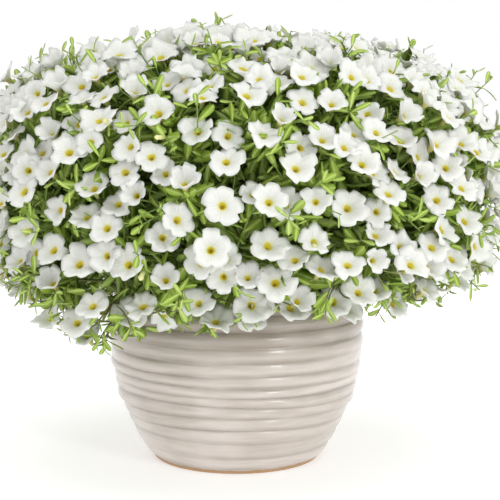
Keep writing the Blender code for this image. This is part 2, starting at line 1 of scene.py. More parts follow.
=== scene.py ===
# %% [markdown]
# # A white calibrachoa in its glazed bowl
#
# A calibrachoa is a small cousin of the petunia. It grows as a dome of wiry
# stems with short, blunt leaves, and it flowers all over. This one stands in
# a hand-thrown bowl with a pale glaze.
#
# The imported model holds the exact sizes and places. This script loads it as
# a frame and dresses it: fine petals, leaves, stems and glaze take the place
# of the plain solids.

# %% Load the frame
import json
import math
import random

import bpy
import numpy as np
from mathutils import Matrix, Vector
from mathutils.kdtree import KDTree

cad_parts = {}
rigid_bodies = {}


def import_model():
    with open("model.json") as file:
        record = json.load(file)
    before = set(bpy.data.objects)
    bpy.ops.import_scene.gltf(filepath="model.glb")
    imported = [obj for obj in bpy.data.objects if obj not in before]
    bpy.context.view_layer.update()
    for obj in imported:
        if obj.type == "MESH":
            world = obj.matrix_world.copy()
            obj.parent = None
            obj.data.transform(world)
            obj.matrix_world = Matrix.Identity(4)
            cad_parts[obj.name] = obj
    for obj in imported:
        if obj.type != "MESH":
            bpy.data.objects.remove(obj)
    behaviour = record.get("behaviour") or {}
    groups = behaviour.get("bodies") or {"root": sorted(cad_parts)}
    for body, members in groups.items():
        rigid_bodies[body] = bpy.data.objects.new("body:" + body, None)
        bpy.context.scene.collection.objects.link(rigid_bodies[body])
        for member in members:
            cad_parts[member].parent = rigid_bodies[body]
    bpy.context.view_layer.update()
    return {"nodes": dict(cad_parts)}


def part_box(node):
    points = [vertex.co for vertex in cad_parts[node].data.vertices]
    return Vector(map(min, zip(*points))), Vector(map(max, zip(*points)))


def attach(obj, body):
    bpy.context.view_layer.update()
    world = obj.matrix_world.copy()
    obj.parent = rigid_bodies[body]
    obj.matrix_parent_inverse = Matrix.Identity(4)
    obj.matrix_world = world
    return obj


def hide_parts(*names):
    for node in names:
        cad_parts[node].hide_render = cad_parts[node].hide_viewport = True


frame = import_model()

# %% [markdown]
# ## Small helpers
#
# Three things are done again and again below: making a mesh from points and
# faces, with values stored on its points, placing it in the scene, and
# handing a finished piece to the frame. Each gets a short function.

# %% Helpers for meshes
UP = Vector((0.0, 0.0, 1.0))


def mesh_of(name, points, faces, smooth=True, edges=(), **values):
    """A mesh that stores each named value on its points."""
    mesh = bpy.data.meshes.new(name)
    mesh.from_pydata([tuple(p) for p in points], edges, faces)
    mesh.polygons.foreach_set("use_smooth", [smooth] * len(mesh.polygons))
    for title, numbers in values.items():
        numbers = np.asarray(numbers)
        kind = "INT" if numbers.dtype.kind == "i" else "FLOAT"
        field = "value"
        if numbers.ndim > 1:
            kind, field = "FLOAT_VECTOR", "vector"
        stored = mesh.attributes.new(title, kind, "POINT")
        stored.data.foreach_set(field, numbers.ravel())
    mesh.update()
    return mesh


def round_point(radius, turn, height):
    """A point at a radius, an angle round +Z and a height."""
    return Vector((radius * math.cos(turn), radius * math.sin(turn), height))


def place(name, data):
    """An object at the origin that shows a mesh, a lamp or a camera."""
    made = bpy.data.objects.new(name, data)
    bpy.context.scene.collection.objects.link(made)
    return made


def hand_over(piece, slot, *nodes):
    """The piece rides on the only body and takes the nodes' place."""
    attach(piece, "root")
    if nodes:
        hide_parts(*nodes)
    piece.data.calc_loop_triangles()
    print(piece.name, "has", len(piece.data.loop_triangles), "triangles")


# %% [markdown]
# A finish is a material with one shader. Its numbers that are the same all
# over are set on the shader itself. Its colours are mixed from noise, from
# the height above the floor and from values stored on the mesh, so that they
# need no image and stay in place from every side.

# %% Helpers for materials
class Finish:
    """A material with one Principled shader, and its nodes close at hand."""

    def __init__(self, name, **constants):
        self.material = bpy.data.materials.new(name)
        self.material.use_nodes = True
        self.tree = self.material.node_tree
        self.shader = self.tree.nodes["Principled BSDF"]
        for socket, value in constants.items():
            self.shader.inputs[socket.replace("_", " ")].default_value = value

    def node(self, kind, inputs=(), **settings):
        """A new node; each input is linked or set, by its name or number."""
        made = self.tree.nodes.new(kind)
        for key, value in settings.items():
            setattr(made, key, value)
        for socket, value in dict(inputs).items():
            if isinstance(value, bpy.types.NodeSocket):
                self.tree.links.new(value, made.inputs[socket])
            else:
                made.inputs[socket].default_value = value
        return made

    def maths(self, operation, *inputs):
        return self.node("ShaderNodeMath", enumerate(inputs),
                         operation=operation).outputs[0]

    def times(self, first, second):
        return self.maths("MULTIPLY", first, second)

    def ramp(self, value, low, high, start=0.0, end=1.0):
        """A smooth step of a value between two levels."""
        inputs = enumerate((value, low, high, start, end))
        return self.node("ShaderNodeMapRange", inputs,
                         interpolation_type="SMOOTHSTEP").outputs[0]

    def mix(self, share, first, second):
        """Two colours mixed by a share."""
        return self.node("ShaderNodeMix", {0: share, 6: first, 7: second},
                         data_type="RGBA").outputs[2]

    def where(self):
        return self.node("ShaderNodeTexCoord").outputs["Object"]

    def parts(self, vector):
        return self.node("ShaderNodeSeparateXYZ", {0: vector}).outputs

    def noise(self, scale, detail=2.0, stretch=(1.0, 1.0, 1.0)):
        """Noise over the object; a stretch draws it out into streaks."""
        drawn = self.node("ShaderNodeVectorMath", {0: self.where(), 1: stretch},
                          operation="MULTIPLY").outputs[0]
        return self.node("ShaderNodeTexNoise", {
            "Vector": drawn, "Scale": scale, "Detail": detail}).outputs[0]

    def field(self, name, output="Fac"):
        """A value that the mesh carries on its points."""
        return self.node("ShaderNodeAttribute", attribute_name=name).outputs[output]

    def feed(self, value, socket):
        self.tree.links.new(value, self.shader.inputs[socket])

    def bump(self, height, strength, distance):
        self.feed(self.node("ShaderNodeBump", {
            "Height": height, "Strength": strength,
            "Distance": distance}).outputs[0], "Normal")


def rgb(red, green, blue):
    return (red, green, blue, 1.0)


# %% [markdown]
# ## The bowl
#
# The bowl is thrown on a wheel: the potter's fingers leave a soft ridge at
# each turn, with a sharp groove between two ridges. A lathe would turn them
# all level, but these wander and lean a little. So the grooves come first,
# each with its own height at every angle, and the ridges fill the space
# between two of them.

# %% Outline of the bowl
BOWL_HEIGHT = 0.172
FOOT_RADIUS = 0.0825
WIDEST_RADIUS = 0.1255
WIDEST_HEIGHT = 0.128
RIM_RADIUS = 0.121
BELLY_FULLNESS = 2.3
WALL = 0.008


def belly_radius(height):
    """Outer radius of the bowl over the crests of its ridges."""
    if height <= WIDEST_HEIGHT:
        share = 1 - (1 - height / WIDEST_HEIGHT) ** BELLY_FULLNESS
        return FOOT_RADIUS + (WIDEST_RADIUS - FOOT_RADIUS) * share
    share = (height - WIDEST_HEIGHT) / (BOWL_HEIGHT - WIDEST_HEIGHT)
    return WIDEST_RADIUS - (WIDEST_RADIUS - RIM_RADIUS) * share ** 2


print("the bowl is", round(2 * WIDEST_RADIUS, 3), "m across at its widest")

# %% Grooves of the bowl
GROOVE_HEIGHTS = (0.0045, 0.0160, 0.0328, 0.0462, 0.0581, 0.0701, 0.0799,
                  0.0890, 0.0994, 0.1119, 0.1266, 0.1415, 0.1560)
GROOVE_WANDER = 0.0016
GROOVE_TILT = 0.0022
RIDGE_SEED = 11


def groove_waves():
    """Tilt and wander of each groove round the bowl, as the hand left them."""
    draw = random.Random(RIDGE_SEED)
    return [(height, GROOVE_TILT * draw.uniform(-1.0, -0.1),
             GROOVE_WANDER * draw.uniform(-1.0, 1.0), draw.uniform(0.0, math.tau))
            for height in GROOVE_HEIGHTS]


def groove_height(wave, turn):
    """Height of one groove at an angle round the bowl."""
    height, tilt, wander, phase = wave
    calm = min(1.0, height / GROOVE_HEIGHTS[2])
    swing = tilt * math.cos(turn) + wander * math.sin(2 * turn + phase)
    return height + calm * swing


groove_lines = groove_waves()
print(len(groove_lines), "grooves")

# %% [markdown]
# The mesh follows the grooves: its rows run along each groove and over each
# crest, so the ridges need few rows and stay crisp. It starts at the drain
# hole inside, climbs the wall, turns over the lip, comes down over the
# ridges and ends under the foot, where its last row joins its first.

# %% One ridge
RIDGE_DEPTH = 0.0024
RIDGE_ROUNDNESS = 0.60
RIDGE_SAG = 0.80
RIDGE_SWELLS = 0.0010
USUAL_RIDGE = 0.011
GROOVE_SHADE = 0.50
CREST_END = 0.86


def ridge_point(low, high, share, turn, tone):
    """Radius, height, and glaze pooling with painted shade, at a share of the way up one
    ridge.
    """
    height = low + (high - low) * share
    crest = math.sin(math.pi * share ** RIDGE_SAG) ** RIDGE_ROUNDNESS
    # Broad ridges are deeper, and so are those near the rim
    depth = RIDGE_DEPTH * (0.85 + 0.65 * tone) * min(1.15, (high - low) / USUAL_RIDGE)
    depth *= 0.60 + 0.80 * height / BOWL_HEIGHT + 0.2 * math.sin(turn + 40 * tone)
    swell = RIDGE_SWELLS * crest * (math.sin(2 * turn + 19 * tone)
                                    + 0.6 * math.sin(5 * turn + 31 * tone))
    # Darker just above each groove and a little below the next: partly glaze that pools
    # there, partly painted shade under the ridge
    pooled = max(0.0, 1 - share / GROOVE_SHADE,
                 0.5 * (share - CREST_END) / (1 - CREST_END))
    return belly_radius(height) - depth * (1 - crest) + swell, height, pooled


# %% Inside and lip
BOWL_TURNS = 220
DRAIN_RADIUS = 0.009
FLOOR = 0.014
LIP_ROUNDING = 0.004
LIP_STEPS = 8
LIP_RISE = 1.2 * LIP_ROUNDING
INNER_HEEL = 0.026
INNER_BELLY = 0.060
INNER_SHOULDER = BOWL_HEIGHT - 0.5 * WALL - LIP_ROUNDING
FLOOR_RADIUS = FOOT_RADIUS - WALL - LIP_ROUNDING


def plain_row(radius, height, pooled=0.2):
    """A level row of (radius, height, glaze pooling and painted shade, ridge tone)."""
    return [(radius, height, pooled, 0.5)] * BOWL_TURNS


def inside_rows():
    """From the drain hole over the floor and up the wall, then over the lip."""
    rows = [plain_row(DRAIN_RADIUS, FLOOR), plain_row(FLOOR_RADIUS, FLOOR)]
    for height in (INNER_HEEL, INNER_BELLY, 0.5 * (INNER_BELLY + INNER_SHOULDER),
                   INNER_SHOULDER):
        rows.append(plain_row(belly_radius(height) - WALL, height))
    lip = 0.5 * WALL
    middle = RIM_RADIUS + 0.2 * LIP_ROUNDING - lip
    for step in range(LIP_STEPS + 1):
        angle = math.pi * (1 - step / LIP_STEPS)
        rows.append(plain_row(middle + lip * math.cos(angle),
                              BOWL_HEIGHT - LIP_RISE * (1 - math.sin(angle)), 0.0))
    return rows


# %% Ridges outside
ROWS_PER_RIDGE = 13
RIDGES_TOP = BOWL_HEIGHT - 1.3 * LIP_ROUNDING
BOWL_ANGLES = [math.tau * k / BOWL_TURNS for k in range(BOWL_TURNS)]


def ridge_rows():
    """Down over every ridge; the top one is cut in half by the lip."""
    draw = random.Random(RIDGE_SEED + 1)
    rows = []
    for number, wave in enumerate(reversed(groove_lines)):
        above = groove_lines[-number] if number else None
        tone = draw.random()
        first = 1.0 if above else 0.5
        for step in range(ROWS_PER_RIDGE):
            share = first * (1 - step / ROWS_PER_RIDGE)
            row = []
            for turn in BOWL_ANGLES:
                low = groove_height(wave, turn)
                high = groove_height(above, turn) if above else RIDGES_TOP
                row.append((*ridge_point(low, low + (high - low) / first,
                                         share, turn, tone), tone))
            rows.append(row)
    return rows


# %% Foot
FOOT_ROUNDING = 0.001
FOOT_RECESS = 0.004
FOOT_RING_INSIDE = FOOT_RADIUS - 0.014


def foot_rows():
    """The foot ring and the recess under the bowl."""
    return [plain_row(radius, height) for radius, height in (
        (FOOT_RADIUS, GROOVE_HEIGHTS[0]), (FOOT_RADIUS, FOOT_ROUNDING),
        (FOOT_RADIUS - FOOT_ROUNDING, 0.0), (FOOT_RING_INSIDE, 0.0),
        (FOOT_RING_INSIDE - FOOT_RECESS, FOOT_RECESS), (DRAIN_RADIUS, FOOT_RECESS))]


# %% Mesh of the bowl
def lattice_faces(rows, columns):
    """Quads of a closed tube of rows, the last row joined to the first."""
    faces = []
    for row in range(rows):
        after = (row + 1) % rows
        for k in range(columns):
            near = (k + 1) % columns
            faces.append((row * columns + k, after * columns + k,
                          after * columns + near, row * columns + near))
    return faces


def make_bowl():
    rows = inside_rows() + ridge_rows() + foot_rows()
    points = [round_point(radius, turn, height) for row in rows
              for turn, (radius, height, _, _) in zip(BOWL_ANGLES, row)]
    return place("glazed_bowl", mesh_of(
        "glazed_bowl", points, lattice_faces(len(rows), BOWL_TURNS),
        pooled=[pooled for row in rows for _, _, pooled, _ in row],
        tone=[tone for row in rows for _, _, _, tone in row]))


bowl = make_bowl()
print("the bowl's mesh has", len(bowl.data.vertices), "points")

# %% [markdown]
# The glaze is a warm greige. It runs off the crests, where the pink of the
# clay shows through, and pools grey-brown in the grooves; that grey-brown is
# also painted shade under each ridge, stronger towards the rim. Each ridge has
# its own tone, and the upper bowl is darker, partly in its glaze and partly as
# painted shade of the plant above. The glaze stops just above the foot, where
# bare clay shows. The noise is drawn out round the bowl into streaks, as the
# wheel leaves it.

# %% Glaze
CREST = rgb(0.66, 0.595, 0.550)
# Grey-brown of glaze that pools in the grooves, also used as painted shade under the
# ridges
POOL_AND_SHADE = rgb(0.30, 0.250, 0.205)
# A darker glaze tone, also used as painted shade of the plant over the upper bowl
DARKER_GLAZE_AND_SHADE = rgb(0.42, 0.365, 0.315)
BARE_CLAY = rgb(0.45, 0.28, 0.145)
STREAKS = (1.0, 1.0, 9.0)
GLAZE_LINE = 0.0032


def glaze():
    made = Finish("satin glaze", Roughness=0.3, Coat_Weight=0.5,
                  Coat_Roughness=0.14, Specular_IOR_Level=0.45)
    height = made.parts(made.where())[2]
    patches = made.ramp(made.noise(14.0), 0.34, 0.66)
    tone = made.times(made.field("tone"), patches)
    # The upper bowl is mixed towards the darker tone: partly its own glaze colour,
    # partly painted shade of the plant above
    tone = made.maths("ADD", made.times(tone, 0.6),
                      made.ramp(height, 0.085, 0.150, 0.0, 0.65))
    streaks = made.ramp(made.noise(26.0, 4.0, STREAKS), 0.35, 0.75, 0.0, 0.35)
    tone = made.maths("ADD", tone, streaks)
    colour = made.mix(made.maths("MINIMUM", tone, 1.0), CREST, DARKER_GLAZE_AND_SHADE)
    # The grooves darken with pooling glaze and painted shade; the painted shade grows
    # towards the rim
    pooled = made.times(made.ramp(made.field("pooled"), 0.0, 0.9),
                        made.ramp(made.noise(22.0), 0.25, 0.60, 0.40, 1.0))
    pooled = made.times(pooled, made.ramp(height, 0.03, 0.14, 0.4, 1.0))
    colour = made.mix(pooled, colour, POOL_AND_SHADE)
    drip = made.maths("MULTIPLY_ADD", made.noise(60.0), 0.002, GLAZE_LINE - 0.001)
    bare = made.maths("LESS_THAN", height, drip)
    made.feed(made.mix(bare, colour, BARE_CLAY), "Base Color")
    made.feed(made.maths("MULTIPLY_ADD", bare, 0.45, 0.3), "Roughness")
    made.bump(made.noise(34.0, 5.0, STREAKS), 0.35, 0.0016)
    return made.material


bowl.data.materials.append(glaze())
hand_over(bowl, "glaze", "bowl")

# %% [markdown]
# ## The soil
#
# The soil keeps its solid, with a hole for each stem, and gets a dark, dull
# finish with a fine speckle.

# %% Soil
SOIL_DARK = rgb(0.030, 0.019, 0.012)
SOIL_LIGHT = rgb(0.090, 0.058, 0.036)


def earth():
    made = Finish("potting soil", Roughness=0.95)
    speckle = made.ramp(made.noise(240.0, 4.0), 0.35, 0.68)
    made.feed(made.mix(speckle, SOIL_DARK, SOIL_LIGHT), "Base Color")
    made.bump(made.noise(420.0, 4.0), 0.7, 0.002)
    return made.material


soil_finish = earth()
soil = frame["nodes"]["soil"]
soil.data.materials.clear()
soil.data.materials.append(soil_finish)
soil_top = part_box("soil")[1]
print("the soil's top is at", round(soil_top.z, 4), "m")

# %% [markdown]
# ## One tree that scatters
#
# Crumbs, leaves, blooms, buds and sepals are all scattered in the same way:
# each point of a cloud carries a turn, a size and the number of the shape
# that it bears. One tree of Geometry Nodes serves them all. It ends in
# Realize Instances, because the export drops instances, and in Set Material.
# The stems further down are swept by a second tree, with the same start and
# end, so these two steps get helpers.

# %% Start and end of a tree
SOCKETS = {"Points": "Geometry", "Lines": "Geometry", "Shapes": "Collection",
           "Ring points": "Int", "Finish": "Material"}


def start_tree(name, *inputs):
    """A new tree, the node that gives its inputs, and a node maker."""
    tree = bpy.data.node_groups.new(name, "GeometryNodeTree")
    for title in inputs:
        tree.interface.new_socket(title, in_out="INPUT",
                                  socket_type="NodeSocket" + SOCKETS[title])
    tree.interface.new_socket("Result", in_out="OUTPUT",
                              socket_type="NodeSocketGeometry")

    def node(kind, **constants):
        made = tree.nodes.new(kind)
        for socket, value in constants.items():
            made.inputs[socket.replace("_", " ")].default_value = value
        return made

    return tree, node("NodeGroupInput"), node


def end_tree(tree, node, result, finish):
    """Turns instances into a real mesh and gives it its finish."""
    real = node("GeometryNodeRealizeInstances")
    painted = node("GeometryNodeSetMaterial")
    tree.links.new(result, real.inputs[0])
    tree.links.new(real.outputs[0], painted.inputs["Geometry"])
    tree.links.new(finish, painted.inputs["Material"])
    tree.links.new(painted.outputs[0], node("NodeGroupOutput").inputs[0])
    return tree


def point_value(tree, kind, name):
    """A value that the points carry."""
    made = tree.nodes.new("GeometryNodeInputNamedAttribute")
    made.data_type = kind
    made.inputs["Name"].default_value = name
    return made.outputs["Attribute"]


# %% Scattering tree
def scattering_tree():
    tree, given, node = start_tree("Scatter shapes", "Points", "Shapes", "Finish")
    shapes = node("GeometryNodeCollectionInfo", Separate_Children=True,
                  Reset_Children=True)
    scatter = node("GeometryNodeInstanceOnPoints", Pick_Instance=True)
    turned = node("FunctionNodeEulerToRotation")
    for source, socket in (
            (given.outputs["Shapes"], shapes.inputs["Collection"]),
            (point_value(tree, "FLOAT_VECTOR", "turn"), turned.inputs[0]),
            (turned.outputs[0], scatter.inputs["Rotation"]),
            (point_value(tree, "FLOAT", "size"), scatter.inputs["Scale"]),
            (point_value(tree, "INT", "shape"), scatter.inputs["Instance Index"]),
            (given.outputs["Points"], scatter.inputs["Points"]),
            (shapes.outputs[0], scatter.inputs["Instance"])):
        tree.links.new(source, socket)
    return end_tree(tree, node, scatter.outputs[0], given.outputs["Finish"])


SCATTER = scattering_tree()
print(SCATTER.name, "has", len(SCATTER.nodes), "nodes")

# %% [markdown]
# A tree runs as a modifier on a mesh that holds only points. Its inputs are
# set by their identifiers. What it makes becomes a plain mesh of its own, and
# the modifier goes.

# %% Running a tree
def run_tree(made, tree, **values):
    """Sets a tree's inputs and keeps what it makes as the object's mesh."""
    modifier = made.modifiers.new(tree.name, "NODES")
    modifier.node_group = tree
    for item in tree.interface.items_tree:
        value = values.get(item.name.replace(" ", "_"))
        if value is not None:
            modifier[item.identifier] = value
    graph = bpy.context.evaluated_depsgraph_get()
    mesh = bpy.data.meshes.new_from_object(made.evaluated_get(graph))
    made.modifiers.clear()
    made.data = mesh
    mesh.polygons.foreach_set("use_smooth", [True] * len(mesh.polygons))
    return made


def scatter(name, cloud, shapes, finish):
    """Shapes on a cloud of (place, frame, size, shape number, tone)."""
    places, frames, sizes, numbers, tones = zip(*cloud)
    mesh = mesh_of(name, places, [], turn=[turn.to_euler() for turn in frames],
                   size=sizes, shape=numbers, tone=tones)
    drawer = bpy.data.collections.new(name + "_shapes")
    for number, shape in enumerate(shapes):
        drawer.objects.link(bpy.data.objects.new("%s_%02d" % (name, number), shape))
    made = run_tree(place(name, mesh), SCATTER, Shapes=drawer, Finish=finish)
    for helper in list(drawer.objects):
        bpy.data.objects.remove(helper)
    bpy.data.collections.remove(drawer)
    return made


def frame_on(direction, up):
    """A turn whose Z follows a direction, with its X near a second one."""
    z = direction.normalized()
    x = (up - z * up.dot(z)).normalized()
    return Matrix((x, z.cross(x), z)).transposed()


# %% [markdown]
# Crumbs of peat lie loose on the soil: a small rough pebble on each point of
# a cloud, of random size and turn. Four shapes are enough.

# %% Crumbs of peat
CRUMB_SEED = 3
CRUMBS = 1500
CRUMB_SHAPES = 4
CRUMB_SIZES = (0.0006, 0.0021)
CRUMBS_RADIUS = 0.110
CRUMB_SINK = 0.3


def pebble(draw):
    """A rough eight-cornered crumb, a little flat."""
    corners = [Vector((x, y, 0.8 * z)) * draw.uniform(0.6, 1.1)
               for x in (-1, 1) for y in (-1, 1) for z in (-1, 1)]
    faces = [(0, 1, 3, 2), (4, 6, 7, 5), (0, 4, 5, 1), (2, 3, 7, 6),
             (0, 2, 6, 4), (1, 5, 7, 3)]
    return mesh_of("crumb", corners, faces, smooth=False)


def random_vector(draw):
    return Vector([draw.uniform(-1, 1) for _ in range(3)])


def make_crumbs():
    draw = random.Random(CRUMB_SEED)
    cloud = []
    for _ in range(CRUMBS):
        radius = CRUMBS_RADIUS * math.sqrt(draw.random())
        turn = draw.uniform(0.0, math.tau)
        size = draw.uniform(*CRUMB_SIZES)
        spot = round_point(radius, turn, soil_top.z + CRUMB_SINK * size)
        lean = frame_on(random_vector(draw), Vector((0.3, 0.9, 0.1)))
        cloud.append((spot, lean, size, draw.randrange(CRUMB_SHAPES), draw.random()))
    shapes = [pebble(draw) for _ in range(CRUMB_SHAPES)]
    return scatter("crumbs", cloud, shapes, soil_finish)


hand_over(make_crumbs(), "soil")

# %% [markdown]
# ## The plan of the plant
#
# The plant follows one rule, with a fixed seed, the same as in the solids.
# Places spread over a mound by a golden-angle spiral, as seeds sit in a
# sunflower; they are shaken and eased apart, and each bears a bloom or a
# growing tip. Up to three neighbours share a side shoot, and the side shoots
# leave the main stems.
#
# The mound comes first. It is a rounded cap over a shallow underside, with
# soft billows round it and one place where it droops over the rim.

# %% The mound and the places on it
MOUND_RADIUS = 0.257
MOUND_MIDDLE = 0.258
MOUND_SHIFT = (0.0012, 0.0045)
MOUND_RISE = 0.149
MOUND_DROP = 0.091
CAP_SQUARENESS = 2.8
SKIRT_SQUARENESS = 3.8
SKIRT_INNER_RADIUS = 0.170
BILLOW = 0.006
BILLOWS_ROUND = (5, 2)
BILLOWS_DOWN = (9, 13)
DROOP = 0.038
DROOP_TURN = math.radians(232)
DROOP_NARROWNESS = 8
PROFILE_STEPS = 400
NORMAL_SPAN = 0.01
GOLDEN_TURN = math.pi * (3 - math.sqrt(5))


def mound_profile():
    """Radius and height down the mound's side, and the share of area above."""
    angle = np.linspace(0.0, math.pi, PROFILE_STEPS)
    across = np.sin(angle)
    along = np.cos(angle)
    power = np.where(along >= 0, 2 / CAP_SQUARENESS, 2 / SKIRT_SQUARENESS)
    tall = np.where(along >= 0, MOUND_RISE, MOUND_DROP)
    radius = MOUND_RADIUS * across ** power
    height = MOUND_MIDDLE + np.sign(along) * tall * np.abs(along) ** power
    kept = (along >= 0) | (radius > SKIRT_INNER_RADIUS)
    radius, height = radius[kept], height[kept]
    step = np.hypot(np.diff(radius), np.diff(height))
    belt = math.pi * (radius[1:] + radius[:-1]) * step
    share = np.concatenate([[0.0], np.cumsum(belt)])
    return radius, height, share / share[-1]


PROFILE = mound_profile()


def mound_place(share, turn):
    """Point and outward normal of the mound at a share of its area."""
    radius, height, shares = PROFILE
    here = float(np.interp(share, shares, radius))
    level = float(np.interp(share, shares, height))
    ahead = min(1.0, share + NORMAL_SPAN)
    behind = max(0.0, share - NORMAL_SPAN)
    run = np.interp(ahead, shares, radius) - np.interp(behind, shares, radius)
    drop = np.interp(ahead, shares, height) - np.interp(behind, shares, height)
    out = round_point(1.0, turn, 0.0)
    normal = (out * float(-drop) + UP * float(run)).normalized()
    place = out * here + Vector((*MOUND_SHIFT, level))
    swell = 1.0
    for turns, downs in zip(BILLOWS_ROUND, BILLOWS_DOWN):
        swell *= math.sin(turns * turn + downs * share)
    place += normal * BILLOW * swell
    low = max(0.0, (MOUND_MIDDLE - level) / MOUND_DROP)
    lean = max(0.0, math.cos(turn - DROOP_TURN))
    place.z -= DROOP * low ** 2 * lean ** DROOP_NARROWNESS
    return place, normal


def spiral_places(count):
    """Evenly spread places on the mound, along a golden-angle spiral."""
    return [((index + 0.5) / count, index * GOLDEN_TURN)
            for index in range(count)]


print("the mound is", round(2 * MOUND_RADIUS, 3), "m across")

# %% [markdown]
# Sprays must not touch. So each bloom, stalk and leaf is filled with balls,
# and a new one may only go where its balls are clear of what other sprays
# have placed. The same balls tell whether a thing stands clear of the bowl.

# %% Clear space between sprays
CLEARANCE = 0.0008
LOOK_OUT = 0.010


class Space:
    """Rows of x, y, z, radius and owner: the balls that fill what is placed."""

    def __init__(self):
        self.taken = np.zeros((0, 5))

    def add(self, balls, owner):
        """Takes up the room of some balls."""
        rows = [(*centre, radius, owner) for centre, radius in balls]
        self.taken = np.vstack([self.taken, rows])

    def clearance(self, balls, owner=-1):
        """Least gap between some balls and what other owners placed."""
        centres = np.array([centre for centre, _ in balls])
        radii = np.array([radius for _, radius in balls])
        middle = centres.mean(axis=0)
        reach = np.linalg.norm(centres - middle, axis=1).max()
        reach += radii.max() + LOOK_OUT
        others = self.taken[self.taken[:, 4] != owner]
        away = np.linalg.norm(others[:, :3] - middle, axis=1)
        near = others[away < reach + others[:, 3]]
        if not len(near):
            return LOOK_OUT
        gap = np.linalg.norm(centres[:, None] - near[None, :, :3], axis=2)
        return float((gap - radii[:, None] - near[:, 3]).min())


def balls_along(first, last, radius, pace=0.004):
    """Balls in a row between two points."""
    count = max(2, int((last - first).length / pace) + 1)
    return [(first.lerp(last, index / (count - 1)), radius)
            for index in range(count)]


# %% Clear of the soil and the bowl
SOIL_HEIGHT = 0.155


def outside_bowl(balls):
    """True where every ball is above the soil and clear of the bowl."""
    for centre, radius in balls:
        reach = math.hypot(centre[0], centre[1])
        if centre[2] - radius > BOWL_HEIGHT + CLEARANCE:
            continue
        wall = belly_radius(max(0.0, min(centre[2], BOWL_HEIGHT)))
        inside = (reach + radius < wall - WALL - CLEARANCE
                  and centre[2] - radius > SOIL_HEIGHT + CLEARANCE)
        if not inside and reach - radius < wall + CLEARANCE:
            return False
    return True


# %% [markdown]
# A bloom is kept as a few facts: its centre, where it looks, how large it
# is, how far it is spun and where its tube ends. A growing tip is kept in the
# same way, so that the two can share a shoot.

# %% One bloom
TUBE_LENGTH = 0.0135
STALK_ROOM = 0.0017
TUBE_ROOM = 0.003
TIP_ROOM = 0.0075
RIM_BALLS = 10
RIM_ROOM = 0.21
HEART_ROOM = 0.55
HEART_DEPTH = 0.002


def frame_of(direction):
    """Two unit vectors that make a right-handed frame with a direction."""
    guide = Vector((1.0, 0.0, 0.0)) if abs(direction.z) > 0.95 else UP
    first = direction.cross(guide).normalized()
    return first, direction.cross(first)


def beside(direction, turn):
    """A unit vector square to a direction, at an angle round it."""
    first, second = frame_of(direction)
    return first * math.cos(turn) + second * math.sin(turn)


def bloom_at(centre, facing, normal, radius, spin, leafy=False):
    return {"centre": centre, "facing": facing, "normal": normal,
            "radius": radius, "spin": spin, "leafy": leafy,
            "neck": centre - facing * TUBE_LENGTH}


def balls_of_bloom(bloom):
    """Balls that cover a bloom's disc and its tube."""
    centre, facing, radius = bloom["centre"], bloom["facing"], bloom["radius"]
    if bloom["leafy"]:
        return balls_along(bloom["neck"], centre, TIP_ROOM)
    balls = [(centre - facing * HEART_DEPTH, HEART_ROOM * radius)]
    for step in range(RIM_BALLS):
        reach = beside(facing, math.tau * step / RIM_BALLS) * radius * (1 - RIM_ROOM)
        balls.append((centre + reach, RIM_ROOM * radius))
    return balls + balls_along(centre, bloom["neck"], TUBE_ROOM)


# %% Places of the blooms
PLANT_SEED = 5
BLOOM_SITES = 366
SHARE_SHAKE = 0.004
TURN_SHAKE = 0.12
BLOOM_SPACING = 0.0361
SPACING_ROUNDS = 20
SPACING_PACE = 0.35


def bloom_places(draw):
    """Places of the blooms: the spiral shaken, then pushed apart."""
    places = []
    for share, turn in spiral_places(BLOOM_SITES):
        share += draw.uniform(-SHARE_SHAKE, SHARE_SHAKE)
        turn += draw.uniform(-TURN_SHAKE, TURN_SHAKE)
        places.append(mound_place(min(1.0, max(0.0, share)), turn))
    points, normals = zip(*places)
    spots = np.array(points)
    away = np.array(normals)
    for _ in range(SPACING_ROUNDS):
        gap = spots[:, None, :] - spots[None, :, :]
        distance = np.linalg.norm(gap, axis=2) + np.eye(len(spots))
        push = np.clip(BLOOM_SPACING - distance, 0.0, None)
        np.fill_diagonal(push, 0.0)
        move = (gap / distance[:, :, None] * push[:, :, None]).sum(axis=1)
        move -= (move * away).sum(axis=1)[:, None] * away
        spots += SPACING_PACE * move
    return [Vector(spot) for spot in spots], normals


# %% [markdown]
# Each bloom looks away from the mound, outwards and a little up to the light,
# with a random sway. One place in twenty bears a leafy tip instead.

# %% Blooms and growing tips
TIP_EVERY = 20
BLOOM_DRIFT = 0.007
OUTWARD_LEAN = 1.2
LOWEST_LOOK = 0.05
UPWARD_LEAN = 0.8
BLOOM_SWAY = 0.75
TIP_SWAY = 0.15
BLOOM_RADIUS = 0.0158
BLOOM_RADIUS_SPREAD = 0.0016
TIP_REACH = 0.006


def out_and_up(spot):
    """The pull of the light on a bloom, outwards and up."""
    out = Vector((spot.x, spot.y, 0.0)).normalized()
    return out * OUTWARD_LEAN + UP * UPWARD_LEAN


def plan_blooms(draw):
    """Where each bloom is, where it looks and how large it is."""
    blooms = []
    for spot, normal in zip(*bloom_places(draw)):
        sway = random_vector(draw)
        look = Vector((normal.x, normal.y, max(normal.z, LOWEST_LOOK)))
        facing = (look + out_and_up(spot) + sway * BLOOM_SWAY).normalized()
        centre = spot + normal * draw.uniform(-1, 1) * BLOOM_DRIFT
        radius = BLOOM_RADIUS + draw.uniform(-1, 1) * BLOOM_RADIUS_SPREAD
        leafy = len(blooms) % TIP_EVERY == TIP_EVERY // 2
        if leafy:
            facing = (normal + sway * TIP_SWAY).normalized()
            centre = spot + normal * TIP_REACH
        bloom = bloom_at(centre, facing, normal, radius,
                         draw.uniform(0.0, math.tau), leafy)
        if outside_bowl(balls_of_bloom(bloom)):
            blooms.append(bloom)
    return blooms


